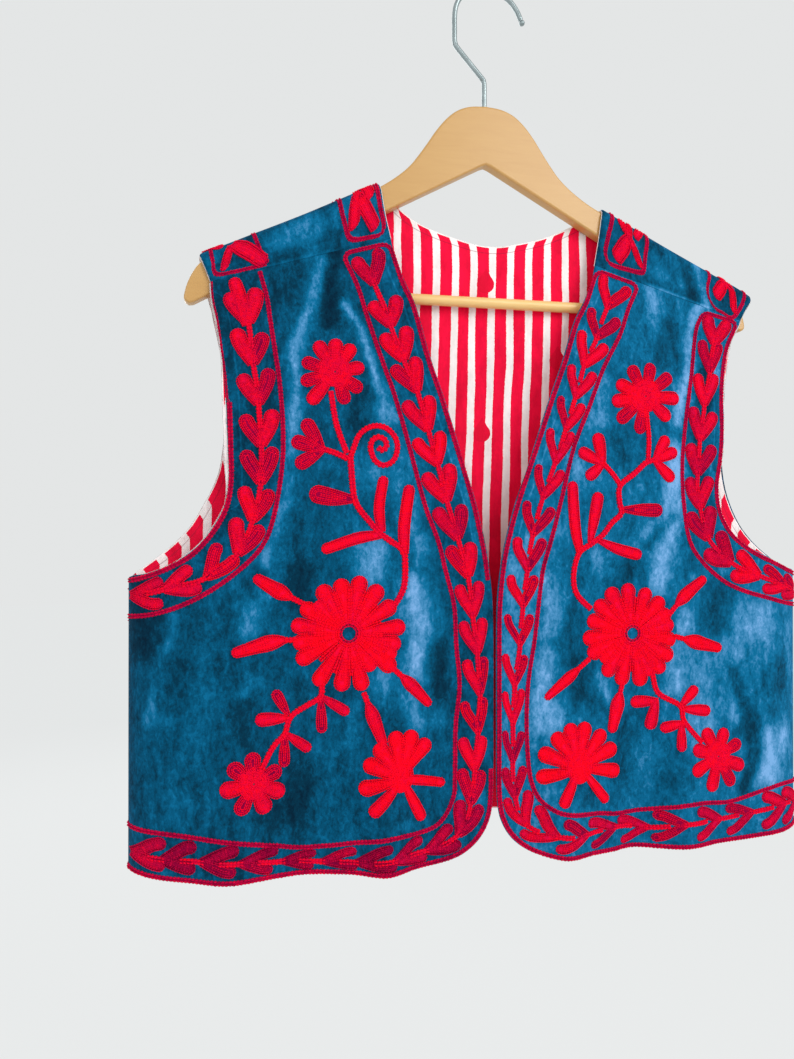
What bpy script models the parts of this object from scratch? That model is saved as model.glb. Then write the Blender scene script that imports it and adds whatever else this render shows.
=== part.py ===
"""Embroidered folk vest on a wooden clothes hanger, as CAD solids.

Axes: +X across the shoulders (towards the wearer's left), -Y to the front, +Z up.
The origin is on the inside of the hook's crown, where a rail carries the hanger.
Sizes are in millimetres and become metres in to_metres().
"side" is -1 for the wearer's right half (-X) and +1 for the left half (+X).
"a" is the distance out from the vest's own centre line, on either side.
"""
import math

import bpy
import numpy as np

MM = 0.001

# Cloth make-up, from the outside in.
VELVET_WALL = 1.2
LAYER_GAP = 0.3
LINING_WALL = 1.0
SEAM_HALF_GAP = 0.2

# The vest's own sizes.
SIDE_HALF_WIDTH = 261.0
RIDGE_RADIUS = 8.4
FRONT_DEPTH = 27.0
FRONT_SIDE_ROUND = 40.0
BACK_DEPTH = 8.4
BACK_SIDE_ROUND = 14.0
SIDEWAYS_SET = 6.0
SHOULDER_TILT = 5.0

# Height of the cloth's ridge over the hanger arm: distance from the hanger's centre, height.
RIDGE_LINE = (
    (70.0, -149.0), (80.0, -153.0), (97.0, -161.0), (113.0, -169.0), (134.0, -179.5), (153.0, -188.5),
    (176.0, -199.0), (191.0, -206.0), (207.0, -213.0), (219.0, -219.0), (226.0, -223.0),
)

# Rows of a front, hem to shoulder seam: front edge (out, height), then side or armhole edge.
FRONT_ROWS = (
    (45.0, -655.5, 261.0, -650.0),
    (27.0, -651.0, 261.0, -640.0),
    (13.0, -641.0, 261.0, -625.0),
    (4.5, -627.0, 261.0, -608.0),
    (1.5, -611.0, 261.0, -590.0),
    (0.9, -588.0, 261.0, -568.0),
    (0.9, -560.0, 261.0, -543.0),
    (0.9, -530.0, 261.0, -516.0),
    (0.9, -500.0, 261.0, -488.0),
    (1.4, -470.0, 261.0, -462.0),
    (3.0, -450.0, 260.5, -447.0),
    (6.0, -430.0, 247.0, -443.5),
    (10.5, -410.0, 228.0, -436.0),
    (16.0, -390.0, 211.0, -423.0),
    (23.0, -370.0, 199.0, -405.5),
    (31.5, -343.0, 191.5, -386.0),
    (41.5, -313.0, 190.0, -358.0),
    (51.5, -285.0, 191.0, -327.0),
    (61.5, -252.0, 195.0, -293.0),
    (70.5, -233.0, 199.5, -268.0),
    (77.5, -216.0, 204.0, -252.0),
    (80.5, -203.0, 207.0, -241.0),
)

# Rows of the back, hem to where the straps start over the hanger: inner edge, then outer edge.
# The first sixteen rows run right across; from the neckline up there are two straps.
BACK_ROWS = (
    (0.0, -629.0, 261.0, -650.0),
    (0.0, -600.0, 261.0, -620.0),
    (0.0, -565.0, 261.0, -585.0),
    (0.0, -530.0, 261.0, -550.0),
    (0.0, -495.0, 261.0, -513.0),
    (0.0, -460.0, 261.0, -478.0),
    (0.0, -425.0, 261.0, -450.0),
    (0.0, -400.0, 250.0, -439.0),
    (0.0, -375.0, 232.0, -425.0),
    (0.0, -350.0, 216.0, -406.0),
    (0.0, -320.0, 204.0, -378.0),
    (0.0, -290.0, 200.0, -345.0),
    (0.0, -260.0, 201.5, -310.0),
    (0.0, -232.0, 204.0, -285.0),
    (0.0, -212.0, 207.0, -267.0),
    (0.0, -193.0, 209.5, -254.0),
    (20.0, -190.3, 212.0, -246.0),
    (42.0, -184.5, 214.0, -240.0),
    (62.0, -176.0, 216.0, -234.5),
)
NECK_ROW = 15

# Strap rows over the hanger: angle round the ridge from its back, inner and outer distance.
STRAP_ARC = (
    (0.0, 82.0, 217.5), (30.0, 86.0, 218.5), (60.0, 88.5, 219.0), (90.0, 89.0, 219.0),
    (120.0, 89.0, 218.5), (150.0, 88.5, 217.5), (180.0, 87.5, 216.0),
)
# Strap rows down the front: share of the way to the shoulder seam, inner and outer distance.
STRAP_FRONT = ((0.5, 84.5, 211.5), (1.0, 80.5, 207.0))

# Where the columns of every panel stand, from the inner edge to the outer edge.
COLUMNS = (0.0, 0.13, 0.26, 0.39, 0.52, 0.64, 0.75, 0.84, 0.91, 0.965, 1.0)

# Largest folds of the fronts: side, distance out, half width, depth forward, height where it fades.
FRONT_FOLDS = (
    (-1, 82.0, 18.0, 13.0, -520.0),
    (-1, 192.0, 24.0, 9.0, -430.0),
    (-1, 138.0, 20.0, -4.0, -500.0),
    (1, 52.0, 20.0, 11.0, -520.0),
    (1, 112.0, 17.0, -8.0, -480.0),
    (1, 154.0, 18.0, 6.0, -500.0),
)

# Hanger.
BOARD_HALF = 5.0
BOARD_ROUND = 1.5
ARM_OUTLINE = (
    (0.0, -90.0), (11.0, -91.3), (22.5, -96.0), (33.0, -105.0), (41.5, -116.5), (48.0, -126.0),
    (55.0, -135.0), (65.5, -147.5), (80.0, -157.5), (97.0, -165.6), (113.0, -173.6), (134.0, -184.1),
    (153.0, -193.1), (176.0, -203.6), (191.0, -210.6), (203.0, -216.5), (212.0, -222.5),
    (218.0, -229.5), (222.0, -238.0), (222.6, -246.0), (220.5, -250.5), (216.5, -250.3),
)
UNDERSIDE_TOP = -134.0
UNDERSIDE_SLOPE = 0.54
BAR_HEIGHT = -241.0
BAR_RADIUS = 4.0
BAR_END_GAP = 0.7
WIRE_RADIUS = 1.7
WIRE_HOLE_RADIUS = 2.1
WIRE_FOOT = -108.0
CROOK_CENTRE = (3.0, -24.62)
CROOK_RADIUS = 26.5
BALL_RADIUS = 2.2


def smooth(t):
    """Ease from 0 to 1."""
    t = np.clip(t, 0.0, 1.0)
    return t * t * (3.0 - 2.0 * t)


def table_value(table, key):
    """Read a two-column table at one key."""
    return float(np.interp(key, [row[0] for row in table], [row[1] for row in table]))


def sideways(z):
    """How far the vest sits to +X on the hanger at this height."""
    return SIDEWAYS_SET * float(smooth((z + 450.0) / 250.0))


def ridge_centre(side, a):
    """Height of the centre of the cloth's bend over the hanger arm."""
    across = abs(side * a + SIDEWAYS_SET)
    return table_value(RIDGE_LINE, across) - RIDGE_RADIUS


def tilt(side, z):
    """The shoulder seams stand a little higher on the -X side."""
    return -side * SHOULDER_TILT * float(smooth((z + 300.0) / 90.0))


def fold_depth(side, a, z):
    """Forward depth of the soft folds in a front."""
    depth = 0.0
    for fold_side, centre, half_width, forward, fade in FRONT_FOLDS:
        if fold_side == side:
            reach = float(smooth((fade - z) / (fade + 650.0)))
            depth += forward * reach * math.exp(-((a - centre) / half_width) ** 2)
    return depth


def side_round(a, width):
    """Share of the full depth left near the side seam: a quarter ellipse."""
    t = min(max((SIDE_HALF_WIDTH - a) / width, 0.0), 1.0)
    return math.sqrt(1.0 - (1.0 - t) ** 2)


def front_y(side, a, z):
    """Front of the velvet at a distance out and a height."""
    hang = float(smooth((ridge_centre(side, a) - z) / 240.0))
    depth = RIDGE_RADIUS + (FRONT_DEPTH - RIDGE_RADIUS) * hang + fold_depth(side, a, z)
    return -(SEAM_HALF_GAP + (depth - SEAM_HALF_GAP) * side_round(a, FRONT_SIDE_ROUND))


def back_y(a, z):
    """Back of the velvet: near the armholes it comes forward below the hanger."""
    forward = 5.0 * float(smooth((a - 140.0) / 65.0))
    forward *= float(smooth((-262.0 - z) / 60.0) * smooth((z + 520.0) / 90.0))
    depth = BACK_DEPTH - forward
    return SEAM_HALF_GAP + (depth - SEAM_HALF_GAP) * side_round(a, BACK_SIDE_ROUND)


def front_point(side, a, z):
    return np.array((side * a + sideways(z), front_y(side, a, z), z))


def back_point(side, a, w):
    """A point of the back: w is the height, carried on over the ridge and down the front."""
    centre = ridge_centre(side, a)
    arc = math.pi * RIDGE_RADIUS
    if w <= centre:
        return np.array((side * a + sideways(w), back_y(a, w), w))
    if w <= centre + arc:
        angle = (w - centre) / RIDGE_RADIUS
        y = RIDGE_RADIUS * math.cos(angle)
        z = centre + RIDGE_RADIUS * math.sin(angle)
        return np.array((side * a + sideways(centre), y, z))
    return front_point(side, a, centre - (w - centre - arc))


def shell_point(point_of, side, a, w, inwards, outward_hint):
    """A point moved inwards from the outer face along the face's own normal."""
    step = 0.02
    low = max(a - step, 0.0)
    high = min(a + step, SIDE_HALF_WIDTH)
    along_a = point_of(side, high, w) - point_of(side, low, w)
    along_w = point_of(side, a, w + step) - point_of(side, a, w - step)
    normal = np.cross(along_a, along_w) * side * outward_hint
    normal /= np.linalg.norm(normal)
    return point_of(side, a, w) - normal * inwards


def front_layer(side, start, wall):
    """Outer and inner point grids of one front layer, rows from hem to shoulder seam."""
    grids = []
    for inwards in (start, start + wall):
        rows = []
        for number, (in_a, in_z, out_a, out_z) in enumerate(FRONT_ROWS):
            row = []
            for share in COLUMNS:
                a = in_a + (out_a - in_a) * share
                z = in_z + (out_z - in_z) * share
                if number == 0:
                    z -= 2.5 * math.sin(math.pi * share)
                z += tilt(side, z)
                if number == len(FRONT_ROWS) - 1:
                    z -= SEAM_HALF_GAP
                row.append(shell_point(front_point, side, a, z, inwards, 1.0))
            rows.append(row)
        grids.append(rows)
    return grids


def seam_height(side, a):
    """Height of the shoulder seam on the front."""
    in_a, in_z, out_a, out_z = FRONT_ROWS[-1]
    z = in_z + (out_z - in_z) * (a - in_a) / (out_a - in_a)
    return z + tilt(side, z) + SEAM_HALF_GAP


def strap_rows(side):
    """Rows of a strap over the hanger, as lists of (distance out, carried height)."""
    rows = []
    for degrees, in_a, out_a in STRAP_ARC:
        row = []
        for share in COLUMNS:
            a = in_a + (out_a - in_a) * share
            row.append((a, ridge_centre(side, a) + RIDGE_RADIUS * math.radians(degrees)))
        rows.append(row)
    for part, in_a, out_a in STRAP_FRONT:
        row = []
        for share in COLUMNS:
            a = in_a + (out_a - in_a) * share
            centre = ridge_centre(side, a)
            row.append((a, centre + math.pi * RIDGE_RADIUS + part * (centre - seam_height(side, a))))
        rows.append(row)
    return rows


def back_rows(side):
    """All rows of one half of the back."""
    rows = []
    for in_a, in_z, out_a, out_z in BACK_ROWS:
        rows.append([
            (in_a + (out_a - in_a) * share, in_z + (out_z - in_z) * share) for share in COLUMNS
        ])
    return rows + strap_rows(side)


def to_metres(points):
    return [tuple(float(value) * MM for value in point) for point in points]


def add_solid(name, points, faces, colour, roughness, metallic=0.0):
    """Make one named solid with its own material."""
    mesh = bpy.data.meshes.new(name)
    mesh.from_pydata(to_metres(points), [], faces)
    mesh.validate()
    material = bpy.data.materials.new(name + "_material")
    material.use_nodes = True
    shader = material.node_tree.nodes["Principled BSDF"]
    shader.inputs["Base Color"].default_value = (*colour, 1.0)
    shader.inputs["Roughness"].default_value = roughness
    shader.inputs["Metallic"].default_value = metallic
    mesh.materials.append(material)
    solid = bpy.data.objects.new(name, mesh)
    bpy.context.scene.collection.objects.link(solid)
    return solid


def close_layer(outer, inner, quads, flip):
    """Join an outer and an inner sheet into one closed wall, every quad split the same way."""
    count = len(outer)
    faces = []
    edges = set()
    for quad in quads:
        for corners in ((quad[0], quad[1], quad[2]), (quad[0], quad[2], quad[3])):
            face = corners[::-1] if flip else corners
            faces.append(face)
            faces.append(tuple(corner + count for corner in face[::-1]))
            edges.update(zip(face, face[1:] + face[:1]))
    for here, there in sorted(edges):
        if (there, here) not in edges:
            faces.append((there, here, here + count))
            faces.append((there, here + count, there + count))
    return outer + inner, faces


def build_front(name, side, start, wall, colour, roughness):
    """One layer of one front."""
    outer_rows, inner_rows = front_layer(side, start, wall)
    width = len(COLUMNS)
    quads = []
    for j in range(len(FRONT_ROWS) - 1):
        for i in range(width - 1):
            low = j * width + i
            quads.append([low, low + 1, low + width + 1, low + width])
    outer = [point for row in outer_rows for point in row]
    inner = [point for row in inner_rows for point in row]
    points, faces = close_layer(outer, inner, quads, flip=side < 0)
    return add_solid(name, points, faces, colour, roughness)


def build_back(name, start, wall, colour, roughness):
    """One layer of the back with its two straps."""
    outer = []
    inner = []
    numbers = {}
    halves = {side: back_rows(side) for side in (-1, 1)}
    for side, rows in halves.items():
        for j, row in enumerate(rows):
            for i, (a, w) in enumerate(row):
                on_centre_line = i == 0 and j <= NECK_ROW
                if on_centre_line and side > 0:
                    numbers[(side, i, j)] = numbers[(-side, i, j)]
                    continue
                numbers[(side, i, j)] = len(outer)
                outer.append(shell_point(back_point, side, a, w, start, -1.0))
                inner.append(shell_point(back_point, side, a, w, start + wall, -1.0))
    quads = []
    for side, rows in halves.items():
        for j in range(len(rows) - 1):
            for i in range(len(COLUMNS) - 1):
                quad = [numbers[(side, i, j)], numbers[(side, i + 1, j)],
                        numbers[(side, i + 1, j + 1)], numbers[(side, i, j + 1)]]
                quads.append(quad if side < 0 else quad[::-1])
    points, faces = close_layer(outer, inner, quads, flip=False)
    return add_solid(name, points, faces, colour, roughness)


def board_outline():
    """The hanger board's outline, clockwise seen from the front, apex of the underside last."""
    right = list(ARM_OUTLINE)
    for share in (0.12, 0.3, 0.5, 0.7, 0.88, 0.985):
        x = 216.5 * (1.0 - share)
        right.append((x, UNDERSIDE_TOP - UNDERSIDE_SLOPE * x))
    left = [(-x, z) for x, z in right[:0:-1]]
    return right + left


def inset(outline, distance):
    """Move a clockwise outline inwards."""
    moved = []
    count = len(outline)
    for k in range(count):
        before = np.array(outline[k - 1])
        here = np.array(outline[k])
        after = np.array(outline[(k + 1) % count])
        first = (here - before) / np.linalg.norm(here - before)
        second = (after - here) / np.linalg.norm(after - here)
        normal = np.array((first[1] + second[1], -first[0] - second[0]))
        normal /= np.linalg.norm(normal)
        moved.append(tuple(here + normal * distance))
    return moved


def build_board():
    """Wooden board of the hanger with softened edges and a blind hole for the wire."""
    full = board_outline()
    small = inset(full, BOARD_ROUND)
    layers = (
        (-BOARD_HALF, small), (-BOARD_HALF + BOARD_ROUND, full),
        (BOARD_HALF - BOARD_ROUND, full), (BOARD_HALF, small),
    )
    points = []
    for y, outline in layers:
        points.extend((x, y, z) for x, z in outline)
    count = len(full)
    faces = [tuple(range(count))[::-1], tuple(range(3 * count, 4 * count))]
    for layer in range(3):
        for k in range(count):
            low = layer * count + k
            high = layer * count + (k + 1) % count
            faces.append((low, high, high + count, low + count))
    faces = [face[::-1] for face in faces]
    board = add_solid("hanger_board", points, faces, (0.78, 0.52, 0.24), 0.35)
    bpy.ops.mesh.primitive_cylinder_add(
        vertices=16, radius=WIRE_HOLE_RADIUS * MM, depth=30.0 * MM,
        location=(0.0, 0.0, (WIRE_FOOT - 0.5 + 15.0) * MM),
    )
    drill = bpy.context.active_object
    drill.name = "wire_hole_cutter"
    drill.hide_render = True
    drill.display_type = "WIRE"
    cut = board.modifiers.new("wire_hole", "BOOLEAN")
    cut.operation = "DIFFERENCE"
    cut.solver = "EXACT"
    cut.object = drill
    return board


def build_bar():
    """Round trouser bar, its ends cut to the slope of the arms."""
    steps = 18
    points = []
    for end in (-1, 1):
        for k in range(steps):
            angle = 2.0 * math.pi * k / steps
            y = BAR_RADIUS * math.cos(angle)
            z = BAR_HEIGHT + BAR_RADIUS * math.sin(angle)
            x = (UNDERSIDE_TOP - z) / UNDERSIDE_SLOPE - BAR_END_GAP
            points.append((end * x, y, z))
    faces = [tuple(range(steps))[::-1], tuple(range(steps, 2 * steps))]
    for k in range(steps):
        after = (k + 1) % steps
        faces.append((k, after, after + steps, k + steps))
    return add_solid("hanger_bar", points, faces, (0.80, 0.55, 0.27), 0.4)


def hook_path():
    """Centre line of the wire with its radius at each point."""
    path = [(0.0, WIRE_FOOT), (0.0, -88.0), (0.0, -72.0), (-0.6, -68.5), (-2.4, -65.6)]
    path += [(-20.6, -45.6), (-22.7, -42.4), (-23.5, -38.5), (-23.5, -31.0)]
    for degrees in range(180, 4, -11):
        angle = math.radians(degrees)
        path.append((
            CROOK_CENTRE[0] + CROOK_RADIUS * math.cos(angle),
            CROOK_CENTRE[1] + CROOK_RADIUS * math.sin(angle),
        ))
    return path


def build_hook():
    """Wire hook swept along its path, with a small ball at its free end."""
    path = [np.array(point) for point in hook_path()]
    radii = [WIRE_RADIUS] * len(path)
    heading = (path[-1] - path[-2]) / np.linalg.norm(path[-1] - path[-2])
    ball_start = path[-1]
    for share in (0.15, 0.5, 0.85):
        path.append(ball_start + heading * (0.4 + 2.0 * BALL_RADIUS * share))
        radii.append(BALL_RADIUS * math.sqrt(1.0 - (2.0 * share - 1.0) ** 2))
    steps = 12
    points = []
    for k, centre in enumerate(path):
        before = path[max(k - 1, 0)]
        after = path[min(k + 1, len(path) - 1)]
        along = (after - before) / np.linalg.norm(after - before)
        across = np.array((along[1], -along[0]))
        for n in range(steps):
            angle = 2.0 * math.pi * n / steps
            flat = centre + across * radii[k] * math.cos(angle)
            points.append((flat[0], radii[k] * math.sin(angle), flat[1]))
    faces = []
    for k in range(len(path) - 1):
        for n in range(steps):
            low = k * steps + n
            high = k * steps + (n + 1) % steps
            faces.append((low, high, high + steps, low + steps))
    last = (len(path) - 1) * steps
    faces.append(tuple(range(steps))[::-1])
    faces.append(tuple(range(last, last + steps)))
    return add_solid("hanger_hook", points, faces, (0.72, 0.74, 0.76), 0.15, metallic=1.0)


def main():
    for item in list(bpy.data.objects):
        bpy.data.objects.remove(item, do_unlink=True)
    velvet = (0.0, 0.11, 0.24)
    cotton = (0.74, 0.22, 0.28)
    lining_start = VELVET_WALL + LAYER_GAP
    build_front("velvet_right_front", -1, 0.0, VELVET_WALL, velvet, 0.8)
    build_front("velvet_left_front", 1, 0.0, VELVET_WALL, velvet, 0.8)
    build_back("velvet_back", 0.0, VELVET_WALL, velvet, 0.8)
    build_front("lining_right_front", -1, lining_start, LINING_WALL, cotton, 0.9)
    build_front("lining_left_front", 1, lining_start, LINING_WALL, cotton, 0.9)
    build_back("lining_back", lining_start, LINING_WALL, cotton, 0.9)
    build_board()
    build_bar()
    build_hook()


main()
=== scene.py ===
"""Looks of the embroidered velvet vest on its wooden hanger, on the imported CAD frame.

Lengths are in millimetres until a mesh is made. "side" is -1 for the wearer's right half (-X)
and +1 for the left half. "a" is the distance out from the vest's own centre line, and "w" is the
height, which on the back panel is carried on over the hanger and down the front to the seam.
"""
import math

import bmesh
import bpy
import numpy as np
from mathutils import Matrix, Vector
from mathutils.kdtree import KDTree


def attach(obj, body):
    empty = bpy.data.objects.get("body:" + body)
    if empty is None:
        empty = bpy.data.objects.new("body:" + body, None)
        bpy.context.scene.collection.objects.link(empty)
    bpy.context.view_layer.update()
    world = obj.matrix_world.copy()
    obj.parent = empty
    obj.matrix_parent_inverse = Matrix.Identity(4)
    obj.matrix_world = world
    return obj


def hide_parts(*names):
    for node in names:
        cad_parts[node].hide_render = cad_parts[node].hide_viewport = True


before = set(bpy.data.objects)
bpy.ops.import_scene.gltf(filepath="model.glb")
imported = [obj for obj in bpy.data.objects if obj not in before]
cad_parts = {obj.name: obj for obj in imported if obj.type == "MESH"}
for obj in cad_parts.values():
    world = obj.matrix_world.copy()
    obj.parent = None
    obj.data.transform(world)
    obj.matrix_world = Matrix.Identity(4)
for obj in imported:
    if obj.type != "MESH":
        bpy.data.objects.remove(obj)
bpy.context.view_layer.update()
MM = 0.001
RNG = np.random.default_rng(7)

# ---------------------------------------------------------------- the vest's form
SIDE_HALF_WIDTH = 261.0
RIDGE_RADIUS = 8.4
FRONT_DEPTH = 27.0
FRONT_SIDE_ROUND = 40.0
BACK_DEPTH = 8.4
BACK_SIDE_ROUND = 14.0
SIDEWAYS_SET = 6.0
SHOULDER_TILT = 5.0
SEAM_HALF_GAP = 0.2
SIDE_HALF_GAP = 0.02
# Heights over which a front leaves the ridge for its full depth, and over which its folds set in.
HANG_HEIGHT = 240.0
FOLD_HEIGHT = 40.0
# Beside the armholes the back is drawn forward: how far, then start and length of each fade.
FORWARD = 5.0
FORWARD_OUT = (140.0, 65.0)
FORWARD_TOP = (-262.0, -60.0)
FORWARD_FOOT = (-520.0, 90.0)
VELVET_WALL = 1.25
LINING_START = 1.35
LINING_WALL = 0.9

# Cloth ridge over the hanger arm: distance from the hanger's centre, height.
RIDGE_LINE = (
    (60, -145), (70, -149), (80, -153), (97, -161), (113, -169), (134, -179.5), (153, -188.5), (176, -199),
    (191, -206), (207, -213), (219, -219), (226, -223), (232, -227),
)

# Rows of a front, hem to shoulder seam: front edge (out, height), side or armhole edge.
FRONT_ROWS = (
    (45, -655.5, 261, -650), (27, -651, 261, -640), (13, -641, 261, -625), (4.5, -627, 261, -608),
    (1.5, -611, 261, -590), (0.9, -588, 261, -568), (0.9, -560, 261, -543), (0.9, -530, 261, -516),
    (0.9, -500, 261, -488), (1.4, -470, 261, -462), (3, -450, 260.5, -447), (6, -430, 247, -443.5),
    (10.5, -410, 228, -436), (16, -390, 211, -423), (23, -370, 199, -405.5), (31.5, -343, 191.5, -386),
    (41.5, -313, 190, -358), (51.5, -285, 191, -327), (61.5, -252, 195, -293), (70.5, -233, 199.5, -268),
    (77.5, -216, 204, -252), (80.5, -203, 207, -241),
)

# How far the fronts' armhole edges have stretched outwards from those rows: height, distance.
ARM_SHIFTS = {
    -1: ((-397, 0), (-378, 2.2), (-361, 3.9), (-340, 5.3), (-260, 5.7), (-250, 5), (-235, 2)),
    1: ((-435, 0), (-429.7, -4.3), (-423, -9.5), (-411, -12), (-396, -11.4), (-379, -8.6),
        (-362, -4), (-345, -0.9), (-324, -1), (-305, -3.2), (-280, -4.5), (-257, -3.5),
        (-245, 0)),
}

# Rows of the back, hem to neckline, then its straps up to the hanger.
BACK_ROWS = (
    (0, -629, 261, -650), (0, -600, 261, -620), (0, -565, 261, -585), (0, -530, 261, -550),
    (0, -495, 261, -513), (0, -460, 261, -478), (0, -425, 261, -450), (0, -400, 250, -439),
    (0, -375, 232, -425), (0, -350, 216, -406), (0, -320, 204, -378), (0, -290, 200, -345),
    (0, -260, 201.5, -310), (0, -232, 204, -285), (0, -212, 207, -267), (0, -193, 209.5, -254),
)
STRAP_ROWS = (
    (0, -193, 209.5, -254), (9, -192.6, 210.7, -250.5), (20, -190.3, 212, -246), (42, -184.5, 214, -240),
    (62, -176, 216, -234.5),
)
# Strap rows over the hanger: angle round the ridge, inner and outer distance out.
STRAP_ARC = (
    (0, 82, 217.5), (30, 86, 218.5), (60, 88.5, 219), (90, 89, 219), (120, 89, 218.5), (150, 88.5, 217.5),
    (180, 87.5, 216),
)
# Strap rows down the front: share of the way to the seam, inner and outer distance out.
STRAP_FRONT = ((0.5, 84.5, 211.5), (1.0, 80.5, 207.0))

FRONT_HEM = -650.0
# Soft folds of each front: distance out, half width, depth forward, height where it fades out.
FRONT_FOLDS = {
    -1: ((82, 18, 13, -520), (192, 24, 9, -430), (138, 20, -4, -500)),
    1: ((52, 20, 11, -520), (112, 17, -8, -480), (154, 18, 6, -500)),
}
# Smaller creases: start (out, height), end (out, height), half width, depth forward.
FRONT_CREASES = {
    -1: (
        ((214, -462), (246, -560), 11, 1.6), ((196, -470), (214, -590), 9, -1.4),
        ((150, -330), (156, -470), 9, 1.3), ((60, -430), (44, -560), 10, 1.6),
        ((125, -215), (140, -300), 13, -1.2), ((108, -560), (116, -650), 9, 1.4),
    ),
    1: (
        ((232, -468), (214, -590), 11, 1.7), ((205, -462), (196, -560), 8, -1.3),
        ((120, -225), (112, -300), 9, 1.5), ((150, -235), (148, -330), 10, -1.4),
        ((52, -400), (48, -520), 10, 1.8), ((176, -540), (186, -640), 11, 1.4),
        ((88, -560), (84, -650), 9, -1.5),
    ),
}
# Creases of the back, given for both halves in the same way.
BACK_CREASES = {
    -1: (
        ((10, -215), (24, -330), 12, 1.5), ((110, -240), (84, -400), 15, 1.8),
        ((60, -430), (66, -640), 18, -2.2), ((150, -440), (168, -645), 20, 2.4),
        ((214, -470), (226, -640), 13, -1.6),
    ),
    1: (
        ((60, -225), (40, -350), 14, -1.6), ((120, -260), (104, -430), 13, 1.6),
        ((20, -420), (14, -630), 16, 2), ((96, -450), (108, -640), 19, -2.2),
        ((186, -460), (196, -645), 18, 2),
    ),
}


def smooth(t):
    """Ease from 0 to 1."""
    t = np.clip(t, 0.0, 1.0)
    return t * t * (3.0 - 2.0 * t)


def fade(value, start, length):
    """Ease from 0 at the start to 1 a length further; a length below 0 runs downwards."""
    return smooth((value - start) / length)


def spline(points, per_span):
    """A Catmull-Rom curve through the points, per_span steps to each span."""
    points = np.asarray(points, float)
    tangents = np.empty_like(points)
    tangents[1:-1] = (points[2:] - points[:-2]) / 2.0
    tangents[0] = points[1] - points[0]
    tangents[-1] = points[-1] - points[-2]
    t = np.linspace(0.0, 1.0, per_span, endpoint=False)[:, None]
    spans = []
    for k in range(len(points) - 1):
        spans.append(
            (2 * t**3 - 3 * t**2 + 1) * points[k] + (t**3 - 2 * t**2 + t) * tangents[k]
            + (3 * t**2 - 2 * t**3) * points[k + 1] + (t**3 - t**2) * tangents[k + 1]
        )
    spans.append(points[-1:])
    return np.concatenate(spans)


RIDGE_DENSE = spline(RIDGE_LINE, 12)


def sideways(w):
    """How far the vest sits to +X on the hanger at this height."""
    return SIDEWAYS_SET * fade(w, -450.0, 250.0)


def ridge_centre(side, a):
    """Height of the centre of the cloth's bend over the hanger arm."""
    across = np.abs(side * a + SIDEWAYS_SET)
    return np.interp(across, RIDGE_DENSE[:, 0], RIDGE_DENSE[:, 1]) - RIDGE_RADIUS


def read_table(table, z):
    """A table's second column at a height."""
    return np.interp(z, *zip(*table))


def arm_shift(side, z):
    """How far a front's armhole edge stands out from the pattern's edge."""
    return read_table(ARM_SHIFTS[side], z)


def tilt(side, z):
    """The shoulder seams stand a little higher on the -X side."""
    return -side * SHOULDER_TILT * fade(z, -300.0, 90.0)


def crease_depth(creases, a, z):
    """Forward depth of the smaller creases, soft at both ends."""
    depth = np.zeros(np.broadcast(a, z).shape)
    for start, end, half_width, forward in creases:
        along = np.array(end) - np.array(start)
        length = np.hypot(*along)
        t = ((a - start[0]) * along[0] + (z - start[1]) * along[1]) / length**2
        off = ((a - start[0]) * along[1] - (z - start[1]) * along[0]) / length
        ends = smooth(t / 0.35 + 0.3) * smooth((1.0 - t) / 0.35 + 0.3)
        depth = depth + forward * ends * np.exp(-(off / half_width) ** 2)
    return depth


def fold_depth(side, a, z):
    """Forward depth of a front's soft folds and creases."""
    depth = crease_depth(FRONT_CREASES[side], a, z)
    for centre, half_width, forward, top in FRONT_FOLDS[side]:
        reach = fade(z, top, FRONT_HEM - top)
        depth = depth + forward * reach * np.exp(-((a - centre) / half_width) ** 2)
    return depth


def side_round(a, width):
    """Share of the full depth left near the side seam: a quarter ellipse."""
    t = np.clip((SIDE_HALF_WIDTH - a) / width, 0.0, 1.0)
    return np.sqrt(1.0 - (1.0 - t) ** 2)


def front_point(side, a, z):
    """Velvet face of a front."""
    centre = ridge_centre(side, a)
    depth = RIDGE_RADIUS + (FRONT_DEPTH - RIDGE_RADIUS) * fade(z, centre, -HANG_HEIGHT)
    depth = depth + fold_depth(side, a, z) * fade(z, centre, -FOLD_HEIGHT)
    y = -(SIDE_HALF_GAP + (depth - SIDE_HALF_GAP) * side_round(a, FRONT_SIDE_ROUND))
    return np.stack((side * a + sideways(z), y, z + 0.0 * a), axis=-1)


def back_point(side, a, w):
    """Velvet face of the back, over the hanger and down the front to the shoulder seam."""
    centre = ridge_centre(side, a)
    top = centre + math.pi * RIDGE_RADIUS
    forward = FORWARD * fade(a, *FORWARD_OUT) * fade(w, *FORWARD_TOP) * fade(w, *FORWARD_FOOT)
    # near the middle line the creases of both halves run into each other
    clear = fade(w, centre - 25.0, -60.0)
    crease = crease_depth(BACK_CREASES[side], a, w) * clear
    other = crease_depth(BACK_CREASES[-side], -a, w) * clear
    depth = BACK_DEPTH - forward + crease + other * (1.0 - smooth(a / 12.0))
    y_back = SIDE_HALF_GAP + (depth - SIDE_HALF_GAP) * side_round(a, BACK_SIDE_ROUND)
    on_back = np.stack((side * a + sideways(w), y_back, w + 0.0 * a), axis=-1)
    angle = np.clip((w - centre) / RIDGE_RADIUS, 0.0, math.pi)
    on_arc = np.stack((side * a + sideways(centre), RIDGE_RADIUS * np.cos(angle),
                       centre + RIDGE_RADIUS * np.sin(angle)), axis=-1)
    point = np.where((w <= centre)[..., None], on_back, on_arc)
    return np.where((w > top)[..., None], front_point(side, a, centre + top - w), point)


SURFACES = {"front": (front_point, 1.0), "back": (back_point, -1.0)}


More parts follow.
